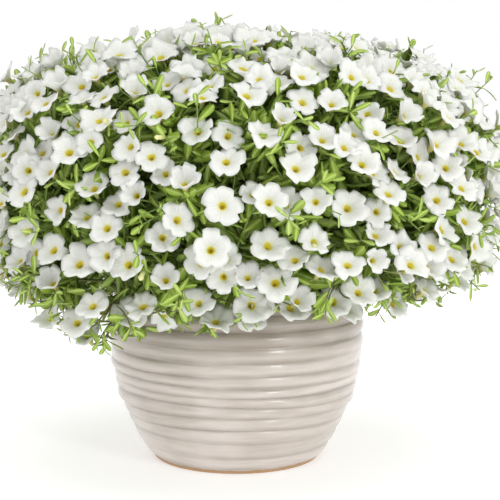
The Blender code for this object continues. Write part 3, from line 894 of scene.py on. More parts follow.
# %% Groups that share a side shoot
GROUP_SIZE = 3
GROUP_REACH = 0.062
FORK_DEPTH = 0.014
FORK_DEPTH_SPREAD = (0.85, 1.3)


def group_up(blooms):
    """Groups of up to three neighbouring blooms, none past a group's reach."""
    left = list(range(len(blooms)))
    groups = []
    while left:
        first = left.pop(0)
        here = blooms[first]["centre"]
        near = sorted(left, key=lambda k: (blooms[k]["centre"] - here).length)
        group = [blooms[first]]
        for other in near[:GROUP_SIZE - 1]:
            if (blooms[other]["centre"] - here).length < GROUP_REACH:
                group.append(blooms[other])
                left.remove(other)
        groups.append(group)
    return groups


def plan_fork(draw, group):
    """The point under a group of blooms where their shoot divides."""
    necks = sum((bloom["neck"] for bloom in group), Vector()) / len(group)
    normal = sum((bloom["normal"] for bloom in group), Vector()).normalized()
    depth = FORK_DEPTH * draw.uniform(*FORK_DEPTH_SPREAD)
    return {"blooms": group, "fork": necks - normal * depth,
            "normal": normal, "on_stem": False, "leaves": []}


# %% [markdown]
# The main stems rise from holes in the soil, spread by the same spiral. Each
# goes straight up at first and then in one bend to the free fork that is
# nearest to its aim.

# %% Main stems
SPRAYS = 34
HOLE_DEPTH = 0.014
HOLES_RADIUS = 0.092
STEM_STEPS = 4
STEM_RADIUS = 0.0024
STEM_COLLAR = 0.003
STEM_LIFT = 0.075
STEM_LEAN = 0.012
STEM_ARRIVAL = 0.060
STEM_OUTWARD = 0.25


def plan_stems(draw, space, shoots):
    """Main stems, each from its hole to the nearest free fork."""
    sprays = []
    for owner, (share, turn) in enumerate(spiral_places(SPRAYS)):
        aim, _ = mound_place(share, turn)
        free = [shoot for shoot in shoots if not shoot["on_stem"]]
        end = min(free, key=lambda shoot: (shoot["fork"] - aim).length)
        end["on_stem"] = True
        path = stem_path(share, turn, end)
        end["path"] = path
        sprays.append({"path": path, "shoots": [end]})
        for first, last in zip(path, path[1:]):
            space.add(balls_along(first, last, STEM_RADIUS), owner)
        space.add(balls_of_shoot(end), owner)
    return sprays


def stem_path(share, turn, end):
    """Upright out of its hole, then in one bend to the fork it ends in."""
    out = round_point(1.0, turn, 0.0)
    foot = out * (HOLES_RADIUS * math.sqrt(share))
    foot.z = SOIL_HEIGHT - HOLE_DEPTH
    collar = foot.copy()
    collar.z = SOIL_HEIGHT + STEM_COLLAR
    lift = collar + UP * STEM_LIFT + out * STEM_LEAN * share
    arrival = (end["normal"] + out * STEM_OUTWARD).normalized()
    before = end["fork"] - arrival * STEM_ARRIVAL
    path = [foot, collar]
    for step in range(1, STEM_STEPS + 1):
        t = step / STEM_STEPS
        s = 1 - t
        path.append(collar * s ** 3 + lift * (3 * s * s * t)
                    + before * (3 * s * t * t) + end["fork"] * t ** 3)
    return path


def balls_of_shoot(shoot):
    """Balls that fill a fork's blooms and their stalks."""
    balls = []
    for bloom in shoot["blooms"]:
        balls += balls_of_bloom(bloom)
        balls += balls_along(shoot["fork"], bloom["neck"], STALK_ROOM)
    return balls


# %% [markdown]
# All the other forks hang from a stem near them, by a side shoot that leaves
# the stem forwards and is clear of all other sprays. A fork that no stem
# reaches is left out, with its blooms.

# %% Side shoots
NEAREST_STEMS = 4
LEAST_FORWARD = 0.1
FORWARD_WORTH = 0.03
ROOT_SHARES = (0.45, 0.60, 0.75, 0.92)


def hang_shoot(space, sprays, shoot):
    """Grows a side shoot from the nearest stem that reaches it clear."""
    def distance(owner):
        return min((point - shoot["fork"]).length
                   for point in sprays[owner]["path"][2:])

    parts = balls_of_shoot(shoot)
    best = None
    for owner in sorted(range(len(sprays)), key=distance)[:NEAREST_STEMS]:
        if space.clearance(parts, owner) < CLEARANCE:
            continue
        for share in ROOT_SHARES:
            root, along = point_on(sprays[owner]["path"], share)
            run = shoot["fork"] - root
            forward = run.normalized().dot(along)
            if forward < LEAST_FORWARD:
                continue
            shaft = balls_along(root, shoot["fork"], STALK_ROOM)
            if not outside_bowl(shaft) or space.clearance(shaft, owner) < CLEARANCE:
                continue
            score = run.length - FORWARD_WORTH * forward
            if best is None or score < best[0]:
                best = (score, owner, root, shaft)
    if best is None:
        return
    _, owner, root, shaft = best
    shoot["path"] = [root, shoot["fork"]]
    sprays[owner]["shoots"].append(shoot)
    space.add(shaft + parts, owner)


def point_on(path, share):
    """Point and direction at a share of the way along a stem's bend."""
    place = share * (len(path) - 2) + 1
    index = min(int(place), len(path) - 2)
    step = path[index + 1] - path[index]
    return path[index] + step * (place - index), step.normalized()


# %% [markdown]
# A fork has three sides. Those that bear no stalk bear a leaf, which turns
# and spreads until it finds the freest room.

# %% Leaves at the forks
LEAF_LENGTH = 0.026
LEAF_LENGTH_SPREAD = (0.85, 1.1)
LEAF_TWISTS = (-0.5, -0.2, 0.1, 0.4)
LEAF_SPREADS = (0.6, 0.85, 1.1, 1.4)
LEAF_ROOM = 0.0032
LEAF_ROOT = 0.011


def plan_leaf(draw, space, owner, fork, axis, turn):
    """Tries leaf directions about one side of a fork; keeps the freest."""
    length = LEAF_LENGTH * draw.uniform(*LEAF_LENGTH_SPREAD)
    best = None
    for twist in LEAF_TWISTS:
        away = beside(axis, turn + twist)
        for spread in LEAF_SPREADS:
            direction = axis * math.cos(spread) + away * math.sin(spread)
            tip = fork + direction * length
            balls = balls_along(fork + direction * LEAF_ROOT, tip, LEAF_ROOM)
            if not outside_bowl(balls):
                continue
            room = min(space.clearance(balls, owner), space.clearance(balls))
            if best is None or room > best[0]:
                best = (room, direction, balls)
    if best is None or best[0] < CLEARANCE:
        return None
    _, direction, balls = best
    space.add(balls, owner)
    return {"direction": direction, "length": length}


def plan_leaves(draw, space, owner, shoot):
    """A leaf on each side of the fork that bears no stalk."""
    fork = shoot["fork"]
    along = (fork - shoot["path"][-2]).normalized()
    last = shoot["blooms"][-1]
    axis = (along + (last["neck"] - fork).normalized() * 0.5).normalized()
    first, second = frame_of(axis)

    def turn_of(bloom):
        aside = bloom["neck"] - fork
        return math.atan2(aside.dot(second), aside.dot(first))

    azimuth = turn_of(shoot["blooms"][0])
    free = [0, 1, 2]
    for bloom in shoot["blooms"][:-1]:
        turn = turn_of(bloom) - azimuth
        free.remove(max(free, key=lambda k: math.cos(turn - math.tau * k / 3)))
    for face in free:
        turn = azimuth + math.tau * face / 3
        leaf = plan_leaf(draw, space, owner, fork, axis, turn)
        if leaf:
            shoot["leaves"].append(leaf)


# %% The whole plant
def plan_plant():
    """Stems, forks, blooms and leaves of every spray."""
    draw = random.Random(PLANT_SEED)
    space = Space()
    shoots = [plan_fork(draw, group) for group in group_up(plan_blooms(draw))]
    sprays = plan_stems(draw, space, shoots)
    for shoot in shoots:
        if not shoot["on_stem"]:
            hang_shoot(space, sprays, shoot)
    for owner, spray in enumerate(sprays):
        for shoot in spray["shoots"]:
            plan_leaves(draw, space, owner, shoot)
    return sprays


sprays = plan_plant()
shoots = [shoot for spray in sprays for shoot in spray["shoots"]]
blooms = [bloom for shoot in shoots for bloom in shoot["blooms"]
          if not bloom["leafy"]]
print(len(sprays), "sprays,", len(shoots), "shoots,", len(blooms), "blooms")

# %% [markdown]
# ## Stems
#
# The main stems are thin and wiry. A curve object with a bevel would do for
# one, but here are thousands of stems, stalks and twigs. So each is a line of
# points in one mesh, and one tree of Geometry Nodes sweeps a small ring along
# all of them. It reads the radius that each point carries.

# %% Sweeping tree
def sweeping_tree():
    tree, given, node = start_tree("Sweep stems", "Lines", "Ring points", "Finish")
    curve = node("GeometryNodeMeshToCurve")
    ring = node("GeometryNodeCurvePrimitiveCircle", Radius=1.0)
    sweep = node("GeometryNodeCurveToMesh", Fill_Caps=True)
    for source, socket in (
            (given.outputs["Lines"], curve.inputs["Mesh"]),
            (given.outputs["Ring points"], ring.inputs["Resolution"]),
            (curve.outputs[0], sweep.inputs["Curve"]),
            (ring.outputs[0], sweep.inputs["Profile Curve"]),
            (point_value(tree, "FLOAT", "thickness"), sweep.inputs["Scale"])):
        tree.links.new(source, socket)
    return end_tree(tree, node, sweep.outputs[0], given.outputs["Finish"])


SWEEP = sweeping_tree()
print(SWEEP.name, "has", len(SWEEP.nodes), "nodes")

# %% Lines that the tree sweeps
STEM_RING = 5


def smooth_line(points, steps):
    """A curve through points, bent softly at each."""
    ends = [points[0] * 2 - points[1], *points, points[-1] * 2 - points[-2]]
    line = []
    for a, b, c, d in zip(ends, ends[1:], ends[2:], ends[3:]):
        for k in range(steps):
            t = k / steps
            line.append(0.5 * (2 * b + (c - a) * t + (2 * a - 5 * b + 4 * c - d) * t ** 2
                               + (3 * b - a - 3 * c + d) * t ** 3))
    return line + [points[-1]]


def sweep_lines(name, lines, finish):
    """Stems along lines of (points, first radius, last radius)."""
    points, edges, thick = [], [], []
    for line, first, last in lines:
        start = len(points)
        points += line
        edges += [(start + k, start + k + 1) for k in range(len(line) - 1)]
        thick += [first + (last - first) * k / (len(line) - 1)
                  for k in range(len(line))]
    mesh = mesh_of(name, points, [], edges=edges, thickness=thick)
    return run_tree(place(name, mesh), SWEEP, Ring_points=STEM_RING, Finish=finish)


# %% [markdown]
# The solids leave out some of the blooms, all the twigs and most of the
# leaves. They are planned here, on the same mound. More blooms fill the gaps
# first: places are tried in a mixed order, and each is kept if no bloom is
# too near. A few stand up above the mound's shoulder, which loosens its
# outline. Each hangs from the fork that is nearest to it.

# %% More blooms
EXTRA_BLOOMS = 300
EXTRA_SITES = 4000
EXTRA_SPACING = 0.0175
EXTRA_DEPTH = (-0.004, 0.010)
EXTRA_SWAY = 1.1
EXTRA_SIZES = (0.78, 1.0)
STANDING_SHARE = 0.16
STANDING_RISE = (0.010, 0.026)
SKIRT_HEIGHT = 0.205
SKIRT_SHARE = 0.14
SHOULDER_LEVEL = 0.6
SHOULDER_SPAN = 0.45

draw = random.Random(PLANT_SEED + 20)


def tree_of(points):
    """A search tree that finds the nearest of some points."""
    made = KDTree(len(points))
    for number, point in enumerate(points):
        made.insert(point, number)
    made.balance()
    return made


fork_tree = tree_of([shoot["fork"] for shoot in shoots])


def nearest_fork(spot):
    return shoots[fork_tree.find(spot)[1]]["fork"]


def shoulder(normal):
    """1 on the mound's shoulder, falling to 0 at its top and its side."""
    return max(0.0, 1.0 - abs(normal.z - SHOULDER_LEVEL) / SHOULDER_SPAN)


def add_blooms():
    """More blooms in the gaps, which the solids leave to the scene."""
    places = spiral_places(EXTRA_SITES)
    draw.shuffle(places)
    centres = [bloom["centre"] for bloom in blooms]
    added = []
    for share, turn in places:
        spot, normal = mound_place(share, turn)
        spot = spot - normal * draw.uniform(*EXTRA_DEPTH)
        if draw.random() < STANDING_SHARE:
            spot += normal * shoulder(normal) * draw.uniform(*STANDING_RISE)
        if min((spot - centre).length for centre in centres) < EXTRA_SPACING:
            continue
        if spot.z < SKIRT_HEIGHT and draw.random() > SKIRT_SHARE:
            continue
        sway = random_vector(draw)
        facing = (normal + out_and_up(spot) + sway * EXTRA_SWAY).normalized()
        bloom = bloom_at(spot, facing, normal,
                         BLOOM_RADIUS * draw.uniform(*EXTRA_SIZES),
                         draw.uniform(0.0, math.tau))
        if outside_bowl(balls_of_bloom(bloom)):
            bloom["fork"] = nearest_fork(bloom["neck"])
            added.append(bloom)
            centres.append(spot)
        if len(added) == EXTRA_BLOOMS:
            break
    return added


extra_blooms = add_blooms()
blooms += extra_blooms
print(len(extra_blooms), "more blooms")

# %% Turning the blooms to the light
LIGHT_PULL = Vector((0.05, -0.20, 0.30))
BLOOM_GROWTH = 1.04

for bloom in blooms:
    bloom["facing"] = (bloom["facing"] + LIGHT_PULL).normalized()
    bloom["radius"] *= BLOOM_GROWTH
    bloom["neck"] = bloom["centre"] - bloom["facing"] * TUBE_LENGTH

bloom_tree = tree_of([bloom["centre"] for bloom in blooms])
print("the largest bloom is",
      round(2 * max(bloom["radius"] for bloom in blooms), 3), "m across")

# %% [markdown]
# Between the blooms the plant pushes up many leafy twigs. They start at the
# forks, which lie a little below the surface, and end at places of their own
# on the same mound, so that no gap is bare. Sprouts stand higher, twigs hang
# over the bowl's rim, and a deeper layer closes the view into the dome. A
# twig that would poke through a bloom or stand before its face is left out.

# %% Twigs
TWIGS = 1090
TWIG_DEPTH = (-0.009, 0.008)
TWIG_TURN = 1.1
TWIG_SHAKE = 0.2
TWIG_ROOM = 0.004
TWIG_SAG = 0.004
TWIG_SMOOTHING = 3
LEAST_TWIG = 0.010
SPROUTS = 250
SPROUT_DEPTH = (-0.017, -0.006)
SPROUT_TURN = 0.4
SPROUT_RISE = 0.016
DEEP_TWIGS = 880
DEEP_DEPTH = (0.016, 0.095)
NEAR_BLOOMS = 3
BLOOM_GUARD = 0.85
BEHIND_BLOOM = -0.004
BEFORE_BLOOM = 0.022


def in_a_bloom(spot):
    """True where a point would poke through a bloom or stand before it."""
    for _, number, _ in bloom_tree.find_n(spot, NEAR_BLOOMS):
        bloom = blooms[number]
        gap = spot - bloom["centre"]
        rise = gap.dot(bloom["facing"])
        across = (gap - bloom["facing"] * rise).length
        if BEHIND_BLOOM < rise < BEFORE_BLOOM and across < BLOOM_GUARD * bloom["radius"]:
            return True
    return False


def twig_lines(count, depths, shift, rise=0.0):
    """Lines from the nearest forks to new places, with the mound's normals."""
    lines = []
    for share, turn in spiral_places(count):
        share = min(1.0, max(0.0, share + draw.uniform(-SHARE_SHAKE, SHARE_SHAKE)))
        shaken = turn + shift + draw.uniform(-TWIG_SHAKE, TWIG_SHAKE)
        spot, normal = mound_place(share, shaken)
        spot = spot - normal * draw.uniform(*depths)
        spot += normal * draw.uniform(0.0, rise) * shoulder(normal)
        fork = nearest_fork(spot)
        if (spot - fork).length < LEAST_TWIG or in_a_bloom(spot):
            continue
        if not outside_bowl([(spot, TWIG_ROOM)]):
            continue
        bend = fork.lerp(spot, 0.5) - normal * TWIG_SAG
        lines.append((smooth_line([fork, bend, spot], TWIG_SMOOTHING), normal))
    return lines


# %% Twigs over the rim
RIM_TWIGS = 46
RIM_REACH = (0.012, 0.040)
RIM_HANG = (-0.014, 0.016)
RIM_INSIDE = 0.012
RIM_OUTSIDE = 0.006
RIM_OVER = 0.012


def rim_lines():
    """Short twigs that hang over the bowl's rim."""
    lines = []
    for number in range(RIM_TWIGS):
        turn = math.tau * (number + draw.uniform(-0.4, 0.4)) / RIM_TWIGS
        out = round_point(1.0, turn, 0.0)
        tip = out * (RIM_RADIUS + draw.uniform(*RIM_REACH))
        tip.z = BOWL_HEIGHT - draw.uniform(*RIM_HANG)
        start = out * (RIM_RADIUS - RIM_INSIDE)
        over = out * (RIM_RADIUS + RIM_OUTSIDE)
        start.z = over.z = BOWL_HEIGHT + RIM_OVER
        lines.append((smooth_line([start, over, tip], TWIG_SMOOTHING), out))
    return lines


# %% All the twigs
outer_twigs = twig_lines(TWIGS, TWIG_DEPTH, TWIG_TURN)
rim_twigs = rim_lines()
sprouts = twig_lines(SPROUTS, SPROUT_DEPTH, SPROUT_TURN, SPROUT_RISE)
deep_twigs = twig_lines(DEEP_TWIGS, DEEP_DEPTH, 2 * TWIG_TURN)
all_twigs = outer_twigs + rim_twigs + sprouts + deep_twigs
print(len(outer_twigs), "outer twigs,", len(rim_twigs), "over the rim,",
      len(sprouts), "sprouts and", len(deep_twigs), "deeper twigs")

# %% [markdown]
# One sweep makes all that is wiry. Old stems are brown and woody near the
# soil, and turn light green as they climb, so their colour goes by height.

# %% Stems, side shoots, stalks and twigs
STEM_BROWN = rgb(0.20, 0.17, 0.07)
STEM_GREEN = rgb(0.22, 0.33, 0.07)
STEM_SMOOTHING = 5
STEM_TIP_RADIUS = 0.0016
SHOOT_RADII = (0.0013, 0.0010)
STALK_RADIUS = 0.0008
STALK_BEND = 0.4
TWIG_RADIUS = 0.0007
TWIG_RADII = (TWIG_RADIUS, 0.7 * TWIG_RADIUS)


def stem_finish():
    made = Finish("wiry stems", Roughness=0.5)
    height = made.parts(made.where())[2]
    green = made.ramp(height, 0.16, 0.24)
    made.feed(made.mix(green, STEM_BROWN, STEM_GREEN), "Base Color")
    return made.material


def stalk_line(fork, bloom):
    """From a fork to a bloom's neck, which it reaches along the tube."""
    neck = bloom["neck"]
    bend = neck - bloom["facing"] * STALK_BEND * (neck - fork).length
    return smooth_line([fork, fork.lerp(bend, 0.6), neck], TWIG_SMOOTHING)


def stem_lines():
    lines = []
    for spray in sprays:
        lines.append((smooth_line(spray["path"], STEM_SMOOTHING),
                      STEM_RADIUS, STEM_TIP_RADIUS))
        for shoot in spray["shoots"][1:]:
            root, fork = shoot["path"][0], shoot["fork"]
            lines.append(([root, root.lerp(fork, 0.5), fork], *SHOOT_RADII))
    stalks = [(shoot["fork"], bloom) for shoot in shoots for bloom in shoot["blooms"]]
    stalks += [(bloom["fork"], bloom) for bloom in extra_blooms]
    lines += [(stalk_line(*stalk), STALK_RADIUS, STALK_RADIUS) for stalk in stalks]
    return lines + [(line, *TWIG_RADII) for line, _ in all_twigs]


stems = sweep_lines("stems", stem_lines(), stem_finish())
hand_over(stems, "foliage", *["spray_%02d" % (k + 1) for k in range(len(sprays))])

# %% [markdown]
# ## Leaves
#
# A calibrachoa leaf is a short, blunt blade, widest beyond its middle, with
# a paler rib along a shallow fold. It is modelled once in a few shapes, with
# a few faces each, because thousands of them are scattered. Each point of
# the blade stores its place across and along, so that the finish can draw
# the rib and the paler underside.

# %% Leaf shapes
LEAF_STATIONS = ((0.0, 0.16), (0.22, 0.52), (0.50, 0.94), (0.76, 1.0), (0.93, 0.62))
PLAIN_STATIONS = ((0.0, 0.16), (0.42, 0.85), (0.80, 0.92))
LEAF_FOLD = 0.30
LEAF_THICKNESS = 0.020
LEAF_FORMS = ((0.30, 0.16, 0.0), (0.26, 0.30, 0.3), (0.34, -0.06, -0.2),
              (0.23, 0.42, 0.1), (0.38, 0.08, 0.2))


def tube_faces(rows, columns):
    """Quads of a tube of rising rings, open at both ends."""
    return [(a, d, c, b) for a, b, c, d in lattice_faces(rows, columns)[:-columns]]


def fan(first, count):
    """Triangles from a ring of points to the tip that comes next."""
    return [(first + k, first + (k + 1) % count, first + count) for k in range(count)]


def leaf_shape(stations, width, droop, twist):
    """A blade one unit long on +Z, with its upper side towards -Y."""
    points, marks = [], []

    def add(across, along, side, lift):
        turn = twist * along
        points.append((across * math.cos(turn),
                       lift + across * math.sin(turn) + droop * along ** 2, along))
        marks.append((across / (0.5 * width), along, side))

    for along, swell in stations:
        half = 0.5 * width * swell
        add(-half, along, 0.0, 0.0)
        add(0.0, along, 0.0, LEAF_FOLD * half)
        add(half, along, 0.0, 0.0)
        add(0.0, along, 1.0, LEAF_FOLD * half + LEAF_THICKNESS)
    add(0.0, 1.0, 0.5, 0.0)
    faces = tube_faces(len(stations), 4) + [(3, 2, 1, 0)] + fan(len(points) - 5, 4)
    return mesh_of("leaf", points, faces, mark=marks)


# %% [markdown]
# Leaves stand round a twig by the golden angle, and are smaller and steeper
# at its tip. A leaf that would stand before a bloom's face is left out, apart
# from a few, as on the real plant.

# %% Places of the leaves
LEAF_SIZE = 0.0215
LEAF_CHANGES = (0.8, 1.15)
LEAF_SPREAD = 1.30
TIP_SPREAD = 0.72
YOUNG_FROM = 0.7
YOUNG_SHRINK = 0.45
YOUNG_TONE = 0.35
SHOWN_BEFORE_BLOOM = 0.10
LEAF_WAIST = 0.6
LEAF_GAP = 0.001


def leaf_frame(direction, upper):
    """A turn with the blade on Z and its upper side, -Y, near a direction."""
    z = direction
    y = -(upper - z * upper.dot(z)).normalized()
    return Matrix((y.cross(z), y, z)).transposed()


def leaf_spot(base, along, turn, spread, size, tone):
    """One leaf, with its upper side towards the twig's tip."""
    away = beside(along, turn)
    direction = (along * math.cos(spread) + away * math.sin(spread)).normalized()
    return (base, leaf_frame(direction, along), size,
            draw.randrange(len(LEAF_FORMS)), tone)


def leaves_on(line, count, size, tone, first=0.25, tip=True,
              shown=SHOWN_BEFORE_BLOOM):
    """Leaves spread along a line of points, from a share of its length on."""
    spots = []
    start = draw.uniform(0.0, math.tau)
    for k in range(count):
        share = first + (1 - first) * (k + 0.5) / count
        step = share * (len(line) - 1)
        index = min(int(step), len(line) - 2)
        base = line[index].lerp(line[index + 1], step - index)
        along = (line[index + 1] - line[index]).normalized()
        young = max(0.0, (share - YOUNG_FROM) / (1 - YOUNG_FROM)) if tip else 0.0
        length = size * (1 - YOUNG_SHRINK * young) * draw.uniform(*LEAF_CHANGES)
        spread = LEAF_SPREAD + (TIP_SPREAD - LEAF_SPREAD) * young
        spread *= draw.uniform(*LEAF_CHANGES)
        spot = leaf_spot(base, along, start + k * GOLDEN_TURN, spread, length,
                         min(1.0, tone + YOUNG_TONE * young))
        end = base + spot[1].col[2] * length
        hidden = in_a_bloom(end) or in_a_bloom(base.lerp(end, LEAF_WAIST))
        if hidden and draw.random() > shown:
            continue
        if outside_bowl([(end, LEAF_GAP)]):
            spots.append(spot)
    return spots


# %% Leaves on the twigs
# Low tones paint leaves darker green; on the rim's hanging leaves and the deeper ones
# this is partly painted shade
# Twigs, leaves on each, their size, the limits of their tone, other settings
NEAR_TWIGS = ((outer_twigs, 8, LEAF_SIZE, (0.25, 0.6), {}),
              (rim_twigs, 8, 1.35 * LEAF_SIZE, (0.15, 0.5), {}),
              (sprouts, 7, 0.9 * LEAF_SIZE, (0.45, 0.7),
               {"first": 0.5, "shown": 0.45}))
DEEP_LEAVES = 7
DEEP_LEAF_SIZE = 1.5 * LEAF_SIZE
DEEP_TONES = (0.0, 0.3)

near_leaves = []
for twigs, count, size, tones, others in NEAR_TWIGS:
    for line, _ in twigs:
        near_leaves += leaves_on(line, count, size, draw.uniform(*tones), **others)
deep_leaves = []
for line, _ in deep_twigs:
    deep_leaves += leaves_on(line, DEEP_LEAVES, DEEP_LEAF_SIZE,
                             draw.uniform(*DEEP_TONES), tip=False)
print(len(near_leaves), "leaves on the outer twigs,", len(deep_leaves), "deeper")

# %% Leaves on the stems, the side shoots and the stalks
# Leaves on each, their size and their tone
# The low tones of the leaves on the stems and side shoots, inside the dome, are partly
# painted shade
ON_STEM = (20, LEAF_SIZE, 0.15)
ON_SHOOT = (5, LEAF_SIZE, 0.2)
ON_TIP = (11, 0.019, 0.55)
ON_STALK = (2, 0.018, 0.4)
FORK_TONE = 0.3
TIP_BUD_LENGTH = 0.009

for spray in sprays:
    line = smooth_line(spray["path"][2:], STEM_SMOOTHING)
    deep_leaves += leaves_on(line, *ON_STEM, tip=False)
for shoot in shoots:
    fork = shoot["fork"]
    deep_leaves += leaves_on([shoot["path"][-2], fork], *ON_SHOOT, tip=False)
    for leaf in shoot["leaves"]:
        near_leaves.append((fork, leaf_frame(leaf["direction"], UP), leaf["length"],
                            draw.randrange(len(LEAF_FORMS)), FORK_TONE))
    for bloom in shoot["blooms"]:
        line = [fork, bloom["neck"]]
        if bloom["leafy"]:
            line.append(bloom["neck"] + bloom["facing"] * TIP_BUD_LENGTH)
            near_leaves += leaves_on(line, *ON_TIP, first=0.3)
        else:
            near_leaves += leaves_on(line, *ON_STALK, first=0.2, tip=False)
print(len(near_leaves), "leaves near the surface,", len(deep_leaves), "deeper")

# %% [markdown]
# A young leaf is yellow-green, an old one deep in the dome is dark. That dark
# green is partly age and partly painted shade, and the leaves that hang over
# the rim are painted darker as shade too. The rib and the thin edge are paler,
# and so is the underside. Leaves are a little glossy, but rough enough to stay
# matt from most sides.

# %% Leaf finish and leaves
LEAF_DEEP = rgb(0.165, 0.270, 0.013)
LEAF_MIDDLE = rgb(0.315, 0.470, 0.044)
LEAF_YOUNG = rgb(0.445, 0.600, 0.130)
LEAF_RIB = rgb(0.600, 0.700, 0.320)
LEAF_BACK = rgb(0.380, 0.500, 0.160)


def leaf_finish():
    made = Finish("leaves", Roughness=0.45, Specular_IOR_Level=0.22)
    tone = made.field("tone")
    # Low tones mix towards the deep green, which on leaves inside the dome and over the
    # rim is partly painted shade
    colour = made.mix(made.ramp(tone, 0.0, 0.45), LEAF_DEEP, LEAF_MIDDLE)
    colour = made.mix(made.ramp(tone, 0.45, 1.0), colour, LEAF_YOUNG)
    patches = made.ramp(made.noise(55.0), 0.35, 0.7)
    colour = made.mix(made.times(patches, 0.3), colour, LEAF_YOUNG)
    across, _, side = made.parts(made.field("mark", "Vector"))
    off_rib = made.maths("ABSOLUTE", across)
    rib = made.ramp(off_rib, 0.0, 0.26, 0.60, 0.0)
    colour = made.mix(rib, colour, LEAF_RIB)
    edge = made.ramp(off_rib, 0.80, 1.0, 0.0, 0.25)
    colour = made.mix(edge, colour, LEAF_RIB)
    colour = made.mix(made.ramp(side, 0.0, 1.0, 0.0, 0.75), colour, LEAF_BACK)
    made.feed(colour, "Base Color")
    return made.material


leaf_green = leaf_finish()
for title, spots, stations in (("near_leaves", near_leaves, LEAF_STATIONS),
                               ("deep_leaves", deep_leaves, PLAIN_STATIONS)):
    shapes = [leaf_shape(stations, *form) for form in LEAF_FORMS]
    hand_over(scatter(title, spots, shapes, leaf_green), "foliage")

# %% [markdown]
# ## Blooms
#
# Each bloom is a narrow tube that opens into five broad lobes. The mesh is a
# thin skin with an upper and an under side: rings of points from the throat
# out to the rim and back down the tube. Fourteen shapes differ in how far
# they open, how their lobes lean and how their rim waves. Each point stores
# its place in the flower, so that the finish can draw the veins and the eye.

# %% Bloom shapes
LOBES = 5
BLOOM_RING = 30
LOBE_POINTS = BLOOM_RING // LOBES
BLOOM_ROWS = ((0.08, -0.52, 0.0), (0.18, -0.30, 0.0), (0.40, -0.135, 0.0),
              (0.72, -0.035, 0.0), (1.00, -0.040, 0.0), (0.985, -0.070, 1.0),
              (0.55, -0.165, 1.0), (0.19, -0.44, 1.0), (0.10, -0.86, 1.0))
LOBE_EDGE = (0.77, 0.965, 1.00, 0.990, 1.00, 0.965)
LOBE_RELIEF = (-0.05, 0.00, 0.025, 0.015, 0.025, 0.00)
LOBE_LEANS = (-0.15, 0.09)
LOBE_SIZES = (0.88, 1.06)
LOBE_TILTS = (-0.05, 0.05)
NOTCH_LEAN = 0.3
CUP_DEPTH = 1.1
RUFFLE_STEP = 1.45
BLOOM_FORMS = ((1.00, 0.00, 0.05), (0.98, 0.10, 0.07), (0.93, -0.12, 0.06),
               (0.96, 0.16, 0.05), (0.99, -0.06, 0.09), (0.90, 0.20, 0.07),
               (0.82, 0.05, 0.07), (0.97, -0.18, 0.07), (0.88, -0.08, 0.10),
               (0.90, 0.26, 0.10), (0.94, -0.24, 0.08), (0.76, 0.10, 0.09),
               (1.00, 0.05, 0.10), (0.55, 0.04, 0.05))


def bloom_shape(openness, saddle, ruffle, draw):
    """A bloom one unit in radius that looks along +Z, rim at the origin."""
    leans, sizes, tilts = [[draw.uniform(*limits) for _ in range(LOBES)]
                           for limits in (LOBE_LEANS, LOBE_SIZES, LOBE_TILTS)]
    fold = draw.uniform(0.0, math.pi)
    points, marks = [], []
    for reach, depth, side in BLOOM_ROWS:
        # The lobes shape the rim, and hardly the throat
        shown = reach ** 2
        cup = (1 - openness) * reach ** 1.5 * CUP_DEPTH
        for number in range(BLOOM_RING):
            lobe, step = divmod(number, LOBE_POINTS)
            turn = math.tau * number / BLOOM_RING
            lean = leans[lobe] * (1.0 if step else NOTCH_LEAN)
            tilt = tilts[lobe] * (step - 0.5 * LOBE_POINTS) if step else 0.0
            wave = saddle * math.cos(2 * (turn - fold))
            wave += ruffle * math.sin(number * RUFFLE_STEP + 9 * leans[0])
            height = depth + cup + shown * (lean + wave + LOBE_RELIEF[step] + tilt)
            length = reach * (1 - shown + shown * LOBE_EDGE[step] * sizes[lobe])
            length *= math.sqrt(openness)
            points.append(round_point(length, turn, height))
            marks.append(round_point(reach, turn, side))
    faces = lattice_faces(len(BLOOM_ROWS), BLOOM_RING)[:-BLOOM_RING]
    faces.append(range(BLOOM_RING))
    faces.append(range(len(points) - 1, len(points) - 1 - BLOOM_RING, -1))
    return mesh_of("bloom", points, faces, mark=marks)


# %% [markdown]
# Petals are white with a cool grey in their fine veins, and grey painted shade
# along the creases between the lobes and in their soft folding. Towards the
# throat they turn through pale green to a golden eye, with an olive-brown heart.
# The tube is yellow-green outside.

# %% Petal finish
PETAL = rgb(0.70, 0.71, 0.67)
# Cool grey of the veins, also used as painted shade in the creases and folding
PETAL_VEIN_AND_SHADE = rgb(0.34, 0.33, 0.36)
PETAL_GLOW = rgb(0.65, 0.68, 0.32)
EYE_GOLD = rgb(0.62, 0.52, 0.03)
EYE_HEART = rgb(0.26, 0.20, 0.02)
TUBE = rgb(0.55, 0.50, 0.18)
VEINS = 25


